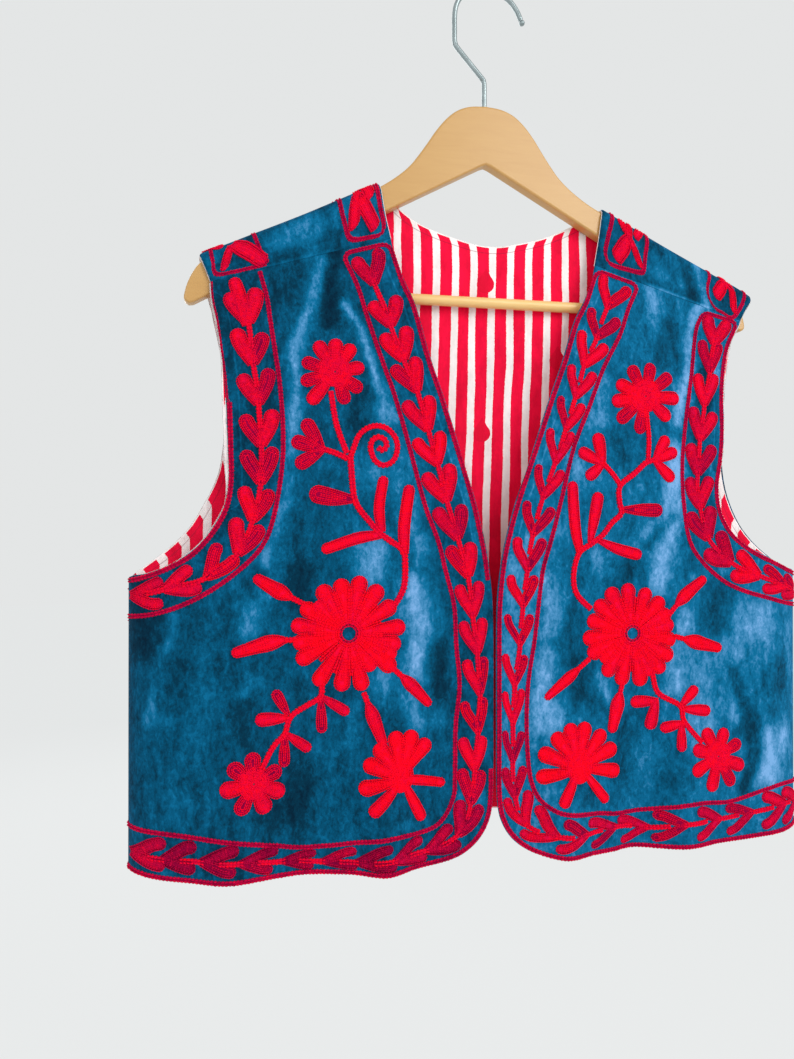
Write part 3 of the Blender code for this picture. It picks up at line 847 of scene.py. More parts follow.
# Motifs of each front in the order they are sewn: kind, width, tone, then points (out, height).
# A leaf's kind is its lobe's; * has open rows and ? may have them. After their centre, flowers have the
# direction and reach of each petal, and fans its width too. A great flower's width is its hole's radius.
MOTIFS = {
    -1: (
        ("flower", 10.4, 0.88, (120.8, -300), (90, 24.8), (58, 26.3), (18, 25.2), (-19, 25.8), (-53, 29.7),
         (250, 25.2), (215, 24), (168.5, 21.4), (122, 24.2)),
        ("stem", 4.3, 0.88, (123.5, -314), (119, -338), (111, -359)),
        ("stem", 4.3, 0.88, (110, -363), (119, -359), (128.5, -356)),
        ("club*", 11, 0.84, (128, -357), (142, -335)),
        ("club*", 11, 0.84, (128, -357), (150.5, -350)),
        ("club*", 11, 0.84, (128, -357), (147, -369)),
        ("stem", 4.2, 0.88, (108.4, -361.5), (105.8, -354), (103, -346.5), (97.3, -341), (89.5, -338.7),
         (82, -341), (76.5, -347), (74.6, -355), (77.5, -363.8), (84.3, -367.3), (90.8, -363.8),
         (94, -355.6), (93, -349.5), (88.5, -346.8), (83.8, -349), (82.6, -353.7), (85.6, -356.5),
         (88.9, -354.5)),
        ("stem", 4.6, 0.88, (108.4, -361.5), (107, -376), (105.4, -389), (102, -397.5), (94.7, -406.3),
         (87, -415), (79, -421), (71.3, -426), (68, -431), (67.4, -440), (68, -453), (71, -461),
         (75, -467)),
        ("club*", 13.5, 0.78, (105, -392), (121, -390.5), (137, -387)),
        ("finger", 8, 0.9, (84.5, -415), (87, -398), (84, -375)),
        ("finger", 8.4, 0.92, (85, -417), (102, -419.5), (127.5, -428)),
        ("finger", 9, 0.9, (68, -431), (68.5, -411), (65, -381)),
        ("great", 5.6, 0.97, (108, -487), (10, 41.4), (31, 39.5), (43, 33), (59, 40), (81, 39.5),
         (102, 41.7), (124, 40.7), (148, 39.6), (174, 41), (194, 38.6), (207, 38), (219, 42.5), (237, 32),
         (256, 42), (278, 41.2), (303, 43), (333, 41.5), (351, 40)),
        ("ray", 11.2, 0.92, (139, -466), (157, -456.5), (174.5, -446)),
        ("ray", 11.4, 0.92, (145, -490.5), (160, -491.5), (189.5, -499)),
        ("ray", 9.6, 0.92, (78, -511), (63, -525), (49, -540)),
        ("ray", 10.2, 0.9, (97.5, -529), (91.5, -545), (83, -568)),
        ("stem", 4.3, 0.88, (127, -521), (128, -531), (137, -536.5), (149, -544.5), (153, -556),
         (160.6, -564), (169, -579)),
        ("club?", 8.2, 0.84, (127.9, -532), (127, -557)), ("club?", 7.6, 0.84, (127.5, -531),
         (108, -543.5)),
        ("club?", 8.2, 0.84, (150.5, -543), (160.5, -525)), ("club?", 9.6, 0.84, (151, -545),
         (173.5, -545)),
        ("club?", 8.4, 0.84, (153, -557), (153.5, -579.5)), ("club?", 7.6, 0.84, (152, -556),
         (135, -568.5)),
        ("flower", 11.8, 0.86, (174.3, -588.4), (87, 22), (41, 22.5), (-7, 23), (-62, 22.5), (-113, 23),
         (203, 23), (155, 21)),
        ("fans", 1, 1.0, (71.3, -589.7), (-14, 31, 11.6), (24, 29, 12.2), (54, 30, 12.2), (83, 33, 12.2),
         (106, 34, 12.2), (130, 33, 11.6)),
        ("hub", 19, 0.97, (71.3, -578), (71.3, -600)), ("finger", 7.4, 0.95, (70, -591), (38, -596.5)),
        ("club", 9, 0.95, (72, -592), (93.5, -614.5)), ("club", 8.4, 0.95, (70, -592), (54.5, -622)),
    ),
    1: (
        ("flower", 11, 0.9, (120.5, -310), (78.5, 27.4), (38, 29.7), (-1, 30), (-41, 27.2), (-102, 30.6),
         (221, 32), (191, 29.3), (159, 26.6), (119, 27)),
        ("stem", 4.3, 0.88, (121, -322), (122.6, -343), (121.6, -360)),
        ("club", 9.6, 0.9, (127, -360), (138.5, -341)), ("club", 9.6, 0.9, (127, -360), (146.5, -352)),
        ("club", 9.6, 0.9, (127, -360), (143, -375.5)), ("club", 10.2, 0.88, (84, -363.5), (79, -340)),
        ("club", 9.4, 0.88, (84, -363.5), (64, -353.5)), ("club", 9.2, 0.88, (84, -363.5), (70.5, -375)),
        ("stem", 4.3, 0.88, (84, -363), (91, -370), (98, -379)),
        ("stem", 4.6, 0.88, (127, -359.5), (119.6, -362), (110.5, -370), (98, -380), (97.5, -392),
         (99, -401), (91.5, -408), (84.5, -417), (75, -424), (66, -430), (61.8, -441), (61, -454),
         (65, -463.5), (75, -473)),
        ("club*", 10.6, 0.86, (100, -398), (133.5, -398.5)),
        ("club", 9.4, 0.88, (74, -423), (77, -405), (80.5, -385)),
        ("club", 8.8, 0.88, (80, -421), (97, -428), (116, -433)),
        ("finger", 9, 0.88, (66, -430), (61.8, -411), (59, -377)),
        ("great", 5.2, 0.97, (108.6, -492), (11, 34.5), (27, 35), (47, 36.5), (70.5, 36.5), (96.5, 38.5),
         (119.5, 40), (141, 39), (162.5, 38.5), (184.5, 40.5), (203, 39.5), (218, 33), (234, 39),
         (256, 40.4), (281, 41.2), (295, 36), (310, 39.5), (329, 38.3), (350, 36)),
        ("ray", 10.8, 0.95, (138, -479), (152, -464), (169.5, -450)),
        ("ray", 11.4, 0.95, (143, -495), (160, -499.5), (183, -505.5)),
        ("ray", 8.8, 0.95, (74, -510), (57, -524), (38.5, -539)),
        ("ray", 12.2, 0.92, (101, -529), (97, -545), (92, -567)),
        ("stem", 4.3, 0.88, (125, -522), (130, -538), (147, -548), (149.5, -558.5), (156, -567.6),
         (165, -577)),
        ("club", 9.4, 0.88, (130, -544), (108, -544.5)), ("club", 9.2, 0.88, (128.5, -543), (123.5, -566)),
        ("club", 8.4, 0.88, (148, -548), (161.5, -534)), ("club", 8.8, 0.88, (149, -550.5), (172.5, -553)),
        ("club", 8.6, 0.88, (149, -561), (131.5, -565.5)), ("club", 7.6, 0.88, (148, -561), (147.5, -583)),
        ("flower", 10.8, 0.88, (178.8, -588.4), (118, 25), (75, 22.5), (27, 23), (-23, 25), (-61, 27),
         (-104, 27.5), (207, 25.6), (161, 23.3)),
        ("fans", 1, 1.0, (64, -590.5), (-10, 36, 11.4), (22, 35, 12.4), (50, 34, 12.4), (80, 34, 12.4),
         (103, 34, 12.4), (127, 33, 12.2), (157, 34, 12.4), (190, 34, 11)),
        ("hub", 21, 0.97, (64, -578), (64, -602)), ("club", 8.8, 0.95, (62, -592), (48.5, -617.5)),
        ("club", 7.8, 0.95, (66, -592), (89, -619)),
    ),
}


def front_motifs(side):
    """Flowers and sprigs of one front."""
    work = Stitching("front", side)
    for kind, width, tone, *points in MOTIFS[side]:
        if kind == "stem":
            stem(work, points, width, tone)
        elif kind == "ray":
            ray(work, points, width, tone)
        elif kind == "flower":
            small_flower(work, points[0], points[1:], width, tone)
        elif kind == "great":
            great_flower(work, points[0], points[1:], width)
        elif kind == "fans":
            for degrees, reach, petal_width in points[1:]:
                petal(work, points[0], degrees, width, reach, petal_width, tone, "fan")
        else:
            open_rows = kind[-1] == "*" or kind[-1] == "?" and RNG.random() < 0.5
            leaf(work, points, width, tone, kind.rstrip("*?"), open_rows)
    return work


# ---------------------------------------------------------------- borders
# Border of the front edge, from the side seam along the hem and up to the shoulder seam:
# the cut edge, then the inner line on the wearer's right, then on the left (out, height).
FRONT_BORDER = (
    (261, -650, 261, -619, 261, -616), (240, -652.5, 240, -620, 240, -614), (221, -654, 221, -622, 221, -617),
    (191, -656, 191, -626, 191, -624), (161, -657, 161, -633, 160, -623),
    (135, -657.5, 138, -637.5, 137, -625.5), (105, -657.8, 106, -634.5, 106, -629.5),
    (75, -657.3, 80, -630.5, 80, -626.5), (48, -656, 60, -631, 60, -624), (27, -651, 46, -628, 46, -621),
    (13, -641, 37.5, -620, 36, -615), (4.5, -627, 31.5, -607, 30, -607), (1.5, -611, 30.5, -596, 26.3, -595),
    (0.9, -588, 30.3, -580, 24.7, -578), (0.9, -556, 30, -556, 24, -556), (0.9, -525, 27, -526, 25.5, -526),
    (0.9, -495, 29.5, -497, 30.3, -496), (1.4, -470, 31, -469, 33.5, -469), (4, -443, 37.5, -443, 37, -443),
    (8, -421, 43, -422, 43, -421), (16, -390, 54, -394, 50, -394), (31.5, -343, 67, -350, 60, -352),
    (41.5, -313, 77.5, -316, 72.5, -321), (51.5, -285, 86, -293, 85, -290),
    (61.5, -252, 97.5, -262, 100, -260), (70.5, -233, 105.5, -239, 108, -236),
    (80.5, -203, 118, -214, 118, -214),
)
ARM_BORDER = (
    (261, -447, 261, -474, 261, -474), (247, -443.5, 241, -471, 241, -471),
    (233, -438, 221, -464.5, 221, -466), (218, -429.5, 203, -455, 203, -461),
    (207, -418, 185, -442, 185, -453), (199, -405.5, 171, -428, 167, -438),
    (194, -393, 163.5, -413, 156, -421), (190.8, -377, 158.5, -389, 151.5, -392),
    (190, -358, 156, -362, 151, -363), (190.3, -335, 157, -335, 154, -336), (192, -313, 160, -308, 159, -308),
    (195, -293, 164, -285, 162.5, -285), (199.5, -268, 168, -264, 165, -263),
    (204, -252, 170.5, -250, 168, -247), (207, -241, 176, -232, 176, -232),
)
# Gap between the cut edge and the border's outer line: front border, armhole border.
EDGE_GAPS = {-1: (2.5, 2.2), 1: (2.3, 2.3)}
# Heights between which the outer lines are turned under the edge: front border, armhole border.
NEVER_HIDDEN = (0.0, 0.0, 0.0)
HIDDEN_LINES = {-1: ((-588.0, -452.0, 0.0), (-322.0, 0.0, 1.5)), 1: (NEVER_HIDDEN, NEVER_HIDDEN)}
# Feet of the hearts from the shoulder down and out along the hem (out, height).
FRONT_FEET = {
    -1: ((93, -234), (81, -264), (71, -290), (61, -313), (52.5, -340), (45, -365), (37.5, -392),
         (28.5, -419), (20.5, -447), (17, -477), (13.5, -503), (11.5, -532), (13, -560), (15.5, -587),
         (19, -613), (28, -635), (52, -644.5), (78, -646), (103, -648), (127, -648), (154, -645),
         (184, -641), (210, -639), (235, -638), (257, -636)),
    1: ((90, -240), (80, -267), (69, -289), (61.5, -314), (53.5, -338.5), (45, -365), (36, -391),
        (29, -418), (25, -443), (21.5, -470), (19, -498), (15, -527), (13.5, -557), (13, -584),
        (15.5, -611), (24, -631), (45, -638.5), (69, -640), (96, -639), (123.5, -641.5), (150, -638),
        (180, -637), (210, -634), (240, -630), (260, -631)),
}
ARM_FEET = {
    -1: ((183, -266), (179, -295), (174, -325), (171, -353), (170.5, -380), (175, -406),
         (185, -429.5), (206, -446), (234, -454), (259, -459)),
    1: ((182.5, -264), (178, -288), (172, -315), (167, -342), (164, -369), (165, -395), (171, -419),
        (190, -438), (216.5, -449.5), (243, -458), (260, -464)),
}
# The back's borders, from the middle or the side seam up over the shoulder: edge, inner line.
BACK_NECK_BORDER = (
    (0, -193, 0, -226), (20, -190.3, 24, -224), (42, -184.5, 56, -216), (62, -176, 84, -205),
    (76, -167, 104, -196),
)
BACK_ARM_BORDER = (
    (261, -450, 261, -479), (250, -439, 243, -469), (232, -425, 219, -454), (216, -406, 194, -430),
    (204, -378, 175, -393), (200, -345, 168, -350), (201.5, -310, 169, -308), (204, -285, 171, -281),
    (208, -262, 175, -254), (213, -243, 180, -232),
)
BACK_HEM_BORDER = ((0, -629, 0, -600), (70, -634, 70, -605), (140, -640, 140, -611), (261, -650, 261, -621))
# Gaps between the back's cut edges and its outer lines, at the start and end of each border.
BACK_NECK_GAPS = {-1: (5.4, 3.8), 1: (5.4, 7.5)}
BACK_ARM_GAPS = (6.5, 6.5)
BACK_HEM_GAPS = (2.6, 2.6)
# The back's borders: start of the hearts, range of tones, chance of open rows.
BACK_HEARTS = {
    "neck": (0.0, (0.74, 0.90), 0.3), "arm": (0.0, (0.74, 0.90), 0.35), "hem": (-4.0, (0.78, 0.92), 0.35),
}
HEART_REACH = 24.0
HEART_PITCH = 27.5
# How a lobe leans out: share of its reach, share of the way across.
LOBE_BEND = ((0.0, 0.0), (0.32, 0.38), (0.66, 0.83), (1.0, 1.0))
# Length of a lobe's middle line on a straight border, as a share of its reach.
AXIS_LONGER = 1.06
# Length left free at a border's end.
LAST_GAP = 4.0
# Room between a heart and the border's inner line, and between it and the outer line: that grows
# with the border's width from WIDE_BORDER on, up to a cap.
INNER_ROOM = 1.2
OUTER_ROOM = 1.4
WIDE_BORDER = 27.0
ROOM_CAPS = {-1: 3.0, 1: 1.0}
NOTCH_SHARE = 0.48
# Radius of the hearts' lobes as a share of the border's width: front and armhole border, back.
LOBE_SHARES = {-1: (0.146, 0.145), 1: (0.126, 0.158)}
# Size of the front border's lobes beside the edge, as a share of the inner ones.
EDGE_LOBES = {-1: 1.0, 1: 0.85}
BACK_LOBE_SHARE = 0.118
HEM_LOBE_SHARE = 0.137
HEM_TOP = -618.0
# Range of tones of the hearts: front and armhole border; along the hem they are darker.
BORDER_TONES = {-1: ((0.70, 0.87), (0.71, 0.87)), 1: ((0.72, 0.90), (0.67, 0.83))}
HEM_DARKER = {-1: 0.24, 1: 0.1}
CORNER_RADIUS = 6.0
CLOSED_SHORT = 9.0
SIDE_SHORT = 0.15


class Ladder:
    """A border between a cut edge and its inner line, read by distance along and depth across."""

    def __init__(self, work, stations, gaps, lobe_share):
        dense = spline(stations, 12)
        dense[:, 0::2] = np.clip(dense[:, 0::2], 0.0, SIDE_HALF_WIDTH)
        if work.surface == "front":
            dense[:, 1::2] += tilt(work.side, dense[:, 1::2])
        self.work = work
        self.gaps = gaps
        self.lobe_share = lobe_share
        self.edge = dense[:, 0:2]
        self.inner = dense[:, 2:4]
        self.middle = (self.edge + self.inner) / 2.0
        self.reach = path_reach(self.middle)
        self.wide = np.hypot(*(self.inner - self.edge).T)
        self.length = self.reach[-1]

    def at(self, along, across):
        """Panel point at a distance along; across is in millimetres from the cut edge."""
        along = np.asarray(along, float)
        share = np.asarray(across, float) / np.interp(along, self.reach, self.wide)
        edge = read_path(self.edge, self.reach, along)
        inner = read_path(self.inner, self.reach, along)
        return edge + (inner - edge) * share[..., None]

    def width_at(self, along):
        return np.interp(along, self.reach, self.wide)

    def gap_at(self, along):
        """How far the outer line stands from the cut edge."""
        return np.interp(along, (0.0, self.length), self.gaps)

    def find(self, foot):
        """Distance along and depth across of a panel point."""
        near = np.argmin(np.hypot(*(self.middle - foot).T))
        rung = (self.inner[near] - self.edge[near]) / self.wide[near]
        return self.reach[near], float(np.dot(foot - self.edge[near], rung))

    def lobe_axis(self, along, across, goal, reach):
        """The line down the middle of a lobe: it leans out to the goal, then runs along the border."""
        path = spline([(along + reach * a, across + (goal - across) * b) for a, b in LOBE_BEND], 6)
        return self.at(path[:, 0], path[:, 1])

    def heart(self, along, across, tone, open_chance, edge_lobe=1.0):
        """Two fat lobes that spring from one foot and bend to run along the border."""
        wide = self.width_at(along + 0.6 * HEART_REACH)
        radius = self.lobe_share * wide * (1.0 + RNG.normal(0.0, 0.04))
        more = min(ROOM_CAPS[self.work.side], max(0.0, 0.4 * (wide - WIDE_BORDER)))
        room = self.gap_at(along) + OUTER_ROOM + more
        edge_radius = radius * edge_lobe
        for goal, lobe_radius in ((wide - INNER_ROOM - radius, radius), (room + edge_radius, edge_radius)):
            reach = HEART_REACH * (1.0 + RNG.normal(0.0, 0.05))
            drawn = path_reach(self.lobe_axis(along, across, goal, reach))[-1]
            reach = min(reach * reach * AXIS_LONGER / drawn, self.length - LAST_GAP - along)
            lobe_tone = tone + RNG.uniform(-0.05, 0.05)
            self.work.lobe(self.lobe_axis(along, across, goal, reach), 2.0 * lobe_radius, lobe_tone,
                           LOBE_KINDS["heart"], RNG.random() < open_chance)

    def vine(self, feet, tones, open_chance, edge_lobe=1.0):
        """The stem through the feet, and a heart on each; feet are (along, across)."""
        feet = sorted(feet)
        for below, above in zip(feet[:-1], feet[1:]):
            share = np.linspace(NOTCH_SHARE * HEART_REACH / (above[0] - below[0]), 1.08, 6)
            along = below[0] + (above[0] - below[0]) * share
            across = below[1] + (above[1] - below[1]) * smooth(share)
            self.work.line(self.at(along, across), STEM_WIDTH, 0.84, 0.1)
        for along, across in feet:
            darker = HEM_DARKER[self.work.side] if self.at(along, across)[1] < HEM_TOP else 0.0
            self.heart(along, across, RNG.uniform(*tones) - darker, open_chance, edge_lobe)

    def even_vine(self, start, tones, open_chance):
        """Hearts at an even pitch, the last one ending at the border's end."""
        end = self.length - 1.0
        count = int((end - start) / HEART_PITCH)
        feet = []
        for k in range(count):
            along = end - HEART_REACH - k * (end - start) / count + RNG.normal(0.0, 0.6)
            feet.append((along, 0.5 * (self.width_at(along) + self.gap_at(along)) + RNG.normal(0.0, 0.8)))
        self.vine(feet, tones, open_chance)

    def lines(self, start=0.0, short=0.0, closed=False, hidden=NEVER_HIDDEN):
        """The chain lines either side, joined by rounded corners where the border is closed."""
        end = self.length - (CLOSED_SHORT if closed else short)
        body = np.append(np.arange(start, end - 1.0, 3.0), end)
        edge_line = self.at(body, self.gap_at(body))
        shown = (edge_line[:, 1] < hidden[0]) | (edge_line[:, 1] > hidden[1])
        for run in np.split(np.arange(len(body)), np.flatnonzero(np.diff(shown)) + 1):
            if shown[run[0]] and len(run) > 1:
                self.work.border_line(edge_line[run], EDGE_LINE_WIDTH)
            elif hidden[2] and len(run) > 1:
                before, after = edge_line[run[0] - 1:run[0]], edge_line[run[-1] + 1:run[-1] + 2]
                turned = self.at(body[run], 0.5 * hidden[2])
                self.work.border_line(np.concatenate((before, turned, after)), hidden[2])
        path = [self.at(body, self.width_at(body))[::-1]]
        if closed:
            turn = np.radians(np.linspace(0.0, 90.0, 6))
            ahead = end + CORNER_RADIUS * np.sin(turn)
            aside = CORNER_RADIUS * (1.0 - np.cos(turn))
            path = [self.at(ahead, self.gap_at(end) + aside),
                    self.at(ahead, self.width_at(end) - aside)[::-1], *path]
        self.work.border_line(np.concatenate(path), LINE_WIDTH)


def pick_side(table, side):
    """The cut edge and the inner line of one side."""
    return [row[:2] + (row[2:4] if side < 0 else row[4:6]) for row in table]


def front_borders(side):
    work = Stitching("front", side)
    arm_stations = [(a + arm_shift(side, z), z, *inner) for a, z, *inner in pick_side(ARM_BORDER, side)]
    front, arm = [Ladder(work, stations, (gap, gap), share) for stations, gap, share in zip(
        (pick_side(FRONT_BORDER, side), arm_stations), EDGE_GAPS[side], LOBE_SHARES[side])]
    front_tones, arm_tones = BORDER_TONES[side]
    front.lines(SIDE_SHORT, closed=True, hidden=HIDDEN_LINES[side][0])
    front.vine([front.find(foot) for foot in FRONT_FEET[side]], front_tones, 0.3, EDGE_LOBES[side])
    arm.lines(SIDE_SHORT, closed=side > 0, hidden=HIDDEN_LINES[side][1])
    arm.vine([arm.find(foot) for foot in ARM_FEET[side]], arm_tones, 0.4)
    if side < 0:
        leaf(work, ((184, -268), (188.5, -251), (194.5, -233.5)), 10.4, 0.86, "finger")
    return work


# Border ends on the straps' front face, as seen from the front (out, height): the closing line,
# then the lobes with their widths.
STRAP_ENDS = {
    (-1, "neck"): (
        ((92.5, -150), (91, -160), (88, -177), (85.8, -189), (88.5, -195.5), (98, -198.5), (107, -200.5),
         (112, -198.5), (114.5, -190), (117.5, -178), (120.5, -160)),
        (((106.5, -166), (107.5, -180), (108, -193), 9.2), ((105.5, -167), (98, -179), (91.5, -191.5), 8),
         ((106, -152), (106, -160), (106.2, -170), 4.6), ((103, -150), (99, -158), (95.5, -169), 8))),
    (1, "neck"): (
        ((97.5, -150), (95.8, -169), (91.7, -185.5), (89.4, -197), (91.5, -204), (97, -207.2),
         (109, -209.6), (119, -211), (122, -208), (123.5, -196), (125, -185), (124, -160)),
        (((109, -185), (104, -193), (97.5, -202), 9), ((110, -183.5), (114.5, -194), (119.5, -207.5), 7.4),
         ((110, -172), (110, -178), (109.6, -188), 4.6), ((110, -181.5), (106, -177), (101.5, -169), 8),
         ((123, -172), (119, -178), (114.5, -184), 5.4))),
    (-1, "arm"): (
        ((212, -196), (210.8, -213), (209, -222), (206.5, -231.5), (195, -229.5), (181, -225.5),
         (171, -222), (173, -217.5), (177, -210), (182, -196)),
        (((196.5, -210), (199, -219), (201, -229), 7.2), ((195.5, -209.5), (185, -213.5), (172, -221.5), 8.4),
         ((216, -207), (209, -211), (202, -211), 5))),
    (1, "arm"): (
        ((180.5, -190), (179, -211), (177.4, -218.5), (178.2, -226.5), (183.5, -235), (191, -239),
         (199, -242.5), (204.5, -237), (208.5, -230), (213, -215)),
        (((192, -215), (188.5, -220), (184, -226.5), 8), ((191, -215), (198.5, -220), (200.6, -238.5), 6.4),
         ((192, -200), (192, -208), (191.5, -216), 5))),
}
# Width of the closing line of each border end.
CLOSING_WIDTHS = {"neck": 3.2, "arm": 2.6}


def on_strap(side, points):
    """Carried heights of front-view points on a strap's front face or over its top."""
    a, z = np.asarray(points, float).T
    centre = ridge_centre(side, a)
    over = centre + RIDGE_RADIUS * (math.pi - np.arcsin(np.clip((z - centre) / RIDGE_RADIUS, 0.0, 1.0)))
    return np.stack((a, np.where(z < centre, 2.0 * centre + math.pi * RIDGE_RADIUS - z, over)), axis=1)


def strap_end(work, side, end):
    closing, lobes = STRAP_ENDS[side, end]
    work.border_line(on_strap(side, spline(closing, 6)), CLOSING_WIDTHS[end])
    for *axis, width in lobes:
        leaf(work, on_strap(side, spline(axis, 6)), width, 0.82, "finger")


def up_to_ridge(side, edge_column, inner_out, rows):
    """Stations that carry a back border up to the top of the ridge."""
    stations = list(rows)
    for strap in STRAP_ARC[0:4:3]:
        turn = RIDGE_RADIUS * math.radians(strap[0])
        outs = (strap[edge_column], inner_out)
        stations.append([x for a in outs for x in (a, ridge_centre(side, a) + turn)])
    return stations


def back_borders(side):
    work = Stitching("back", side)
    neck = Ladder(work, up_to_ridge(side, 1, 121.5, BACK_NECK_BORDER), BACK_NECK_GAPS[side], BACK_LOBE_SHARE)
    neck.lines()
    neck.even_vine(*BACK_HEARTS["neck"])
    strap_end(work, side, "neck")
    arm = Ladder(work, up_to_ridge(side, 2, 181.0, BACK_ARM_BORDER), BACK_ARM_GAPS, BACK_LOBE_SHARE)
    arm.lines(SIDE_SHORT)
    arm.even_vine(*BACK_HEARTS["arm"])
    strap_end(work, side, "arm")
    hem = Ladder(work, BACK_HEM_BORDER, BACK_HEM_GAPS, HEM_LOBE_SHARE)
    hem.lines(short=SIDE_SHORT)
    hem.even_vine(*BACK_HEARTS["hem"])
    return work


# ---------------------------------------------------------------- materials
def field_sign(operation, swapped=False):
    """An operator between two fields, or a field and a number, as a node."""
    def apply(self, other):
        return self.nodes.math(operation, *((other, self) if swapped else (self, other)))
    return apply


class Field:
    """A value that a material works out at every point."""

    def __init__(self, nodes, socket):
        self.nodes = nodes
        self.socket = socket

    __add__ = field_sign("ADD")
    __sub__ = field_sign("SUBTRACT")
    __rsub__ = field_sign("SUBTRACT", swapped=True)
    __mul__ = field_sign("MULTIPLY")
    __truediv__ = field_sign("DIVIDE")
    __pow__ = field_sign("POWER")
    __lt__ = field_sign("LESS_THAN")
    __gt__ = field_sign("GREATER_THAN")

    def __abs__(self):
        return self.nodes.math("ABSOLUTE", self)


class Nodes:
    """Short calls for building one node material."""

    def __init__(self, name):
        self.material = bpy.data.materials.new(name)
        self.material.use_nodes = True
        self.tree = self.material.node_tree

    def add(self, kind, inputs, output=0, **settings):
        """A node with its settings made and its inputs fed, as the field of one of its outputs."""
        node = self.tree.nodes.new(kind)
        for key, value in settings.items():
            setattr(node, key, value)
        self.feed(node, inputs)
        return Field(self, node.outputs[output])

    def feed(self, node, inputs):
        for key, value in inputs.items():
            if isinstance(value, Field):
                self.tree.links.new(value.socket, node.inputs[key])
            else:
                node.inputs[key].default_value = value

    def shade(self, inputs):
        """Feed the material's own shader; returns the material."""
        self.feed(self.tree.nodes["Principled BSDF"], inputs)
        return self.material

    def math(self, operation, first, second=0.0, clamp=False):
        return self.add("ShaderNodeMath", {0: first, 1: second}, operation=operation, use_clamp=clamp)

    def value(self, name):
        return self.add("ShaderNodeAttribute", {}, "Fac", attribute_name=name)

    def noise(self, scale, detail, rough, distortion=0.0, stretch=(1.0, 1.0, 1.0)):
        """Noise in the object's own coordinates, which are scaled per axis first."""
        at = self.add("ShaderNodeTexCoord", {}, "Object")
        at = self.add("ShaderNodeMapping", {"Vector": at, "Scale": stretch}, "Vector")
        return self.add("ShaderNodeTexNoise", {
            "Vector": at, "Scale": scale, "Detail": detail, "Roughness": rough, "Distortion": distortion,
        }, "Fac")

    def ramp(self, value, stops):
        colour = self.add("ShaderNodeValToRGB", {"Fac": value}, "Color")
        band = colour.socket.node.color_ramp
        while len(band.elements) < len(stops):
            band.elements.new(0.5)
        for element, (position, shade) in zip(band.elements, stops):
            element.position = position
            element.color = shade
        return colour

    def mix(self, share, first, second):
        return self.add("ShaderNodeMix", {"Factor": share, 6: first, 7: second}, 2, data_type="RGBA")

    def bump(self, height, distance, strength, under=None):
        inputs = {"Height": height, "Distance": distance, "Strength": strength}
        if under is not None:
            inputs["Normal"] = under
        return self.add("ShaderNodeBump", inputs, "Normal")


def srgb(*screen):
    """Linear colour from eight-bit screen values."""
    parts = [value / 255.0 for value in screen]
    parts = [part / 12.92 if part <= 0.04045 else ((part + 0.055) / 1.055) ** 2.4 for part in parts]
    return (*parts, 1.0)


# Distance from a turned-in edge of the painted highlight line that stands for the ridge there.
RIDGE_HIGHLIGHT_FROM_EDGE = 9.0
# Noises that break up the nap: share of height kept (less is longer), scale, detail, amount.
NAP_NOISES = ((0.35, 26, 3, 0.36), (0.4, 75, 3, 0.52), (0.6, 210, 3, 0.60), (0.7, 560, 3, 0.42))


def velvet_material():
    """Teal pile in light and dark streaks, partly real nap and partly painted highlights and shade of its
    folds, with a faint ridge inside its turned edges painted as a lighter line.
    """
    n = Nodes("blue_velvet")
    # the pile's tone at every point, partly painted highlights and shade of the folds
    nap = n.value("nap") + 0.37
    for stretch, scale, detail, amount in NAP_NOISES:
        nap = nap + (n.noise(scale, detail, 0.6, 0.6, (1.0, 1.0, stretch)) - 0.5) * amount
    # painted highlight: a lighter line where the ridge inside a turned edge would catch the light
    ridge_highlight = n.math("SUBTRACT", 1.0, abs(n.value("rim") - RIDGE_HIGHLIGHT_FROM_EDGE) / 1.1, clamp=True)
    nap = nap + ridge_highlight * 0.16
    return n.shade({
        "Base Color": n.ramp(nap, (
            (0.0, srgb(0, 32, 52)), (0.22, srgb(0, 52, 76)), (0.42, srgb(0, 80, 115)),
            (0.62, srgb(8, 106, 150)), (0.82, srgb(72, 138, 186)), (1.0, srgb(118, 168, 218)))),
        "Roughness": 0.85,
        "Specular IOR Level": 0.06,
        "Sheen Weight": 0.06,
        "Sheen Roughness": 0.4,
        "Sheen Tint": srgb(120, 175, 220),
        "Normal": n.bump(n.noise(2600.0, 2.0, 0.6), 0.00025, 0.5, n.bump(nap, 0.0012, 0.35)),
    })


def wool_material():
    """Red embroidery wool, a tone of its own in every stitch, with painted shade in the beds, the pads and
    the lobes' outermost rows.
    """
    n = Nodes("red_wool")
    fibre = n.noise(1500.0, 3.0, 0.6)
    tone = n.value("tone") + (fibre - 0.5) * 0.3
    for scale, rough, amount in ((42.0, 0.5, 0.3), (420.0, 0.6, 0.5)):
        tone = tone + (n.noise(scale, 2.0, rough) - 0.5) * amount
    return n.shade({
        "Base Color": n.ramp(tone, (
            (0.05, srgb(92, 0, 46)), (0.35, srgb(146, 0, 56)), (0.6, srgb(204, 4, 64)),
            (0.8, srgb(238, 5, 56)), (1.0, srgb(254, 4, 34)))),
        "Roughness": 0.9,
        "Specular IOR Level": 0.06,
        "Sheen Weight": 0.03,
        "Sheen Roughness": 0.5,
        "Sheen Tint": srgb(255, 90, 120),
        "Normal": n.bump(fibre, 0.0003, 0.5),
    })


# The lining's print: pitch of the stripes and their red share, repeat of the buds, and where both start.
STRIPE = 15.0
RED_SHARE = 0.62
BUD_ACROSS = 60.0
BUD_DOWN = 116.0
STRIPE_START = 9.5 + 40.0 * STRIPE
BUD_START_ACROSS = 32.8 + 20.0 * BUD_ACROSS
BUD_START_DOWN = 219.5 + 58.0 + 20.0 * BUD_DOWN
STITCH_FROM_EDGE = 5.5
PALE_FOLD = 1.2


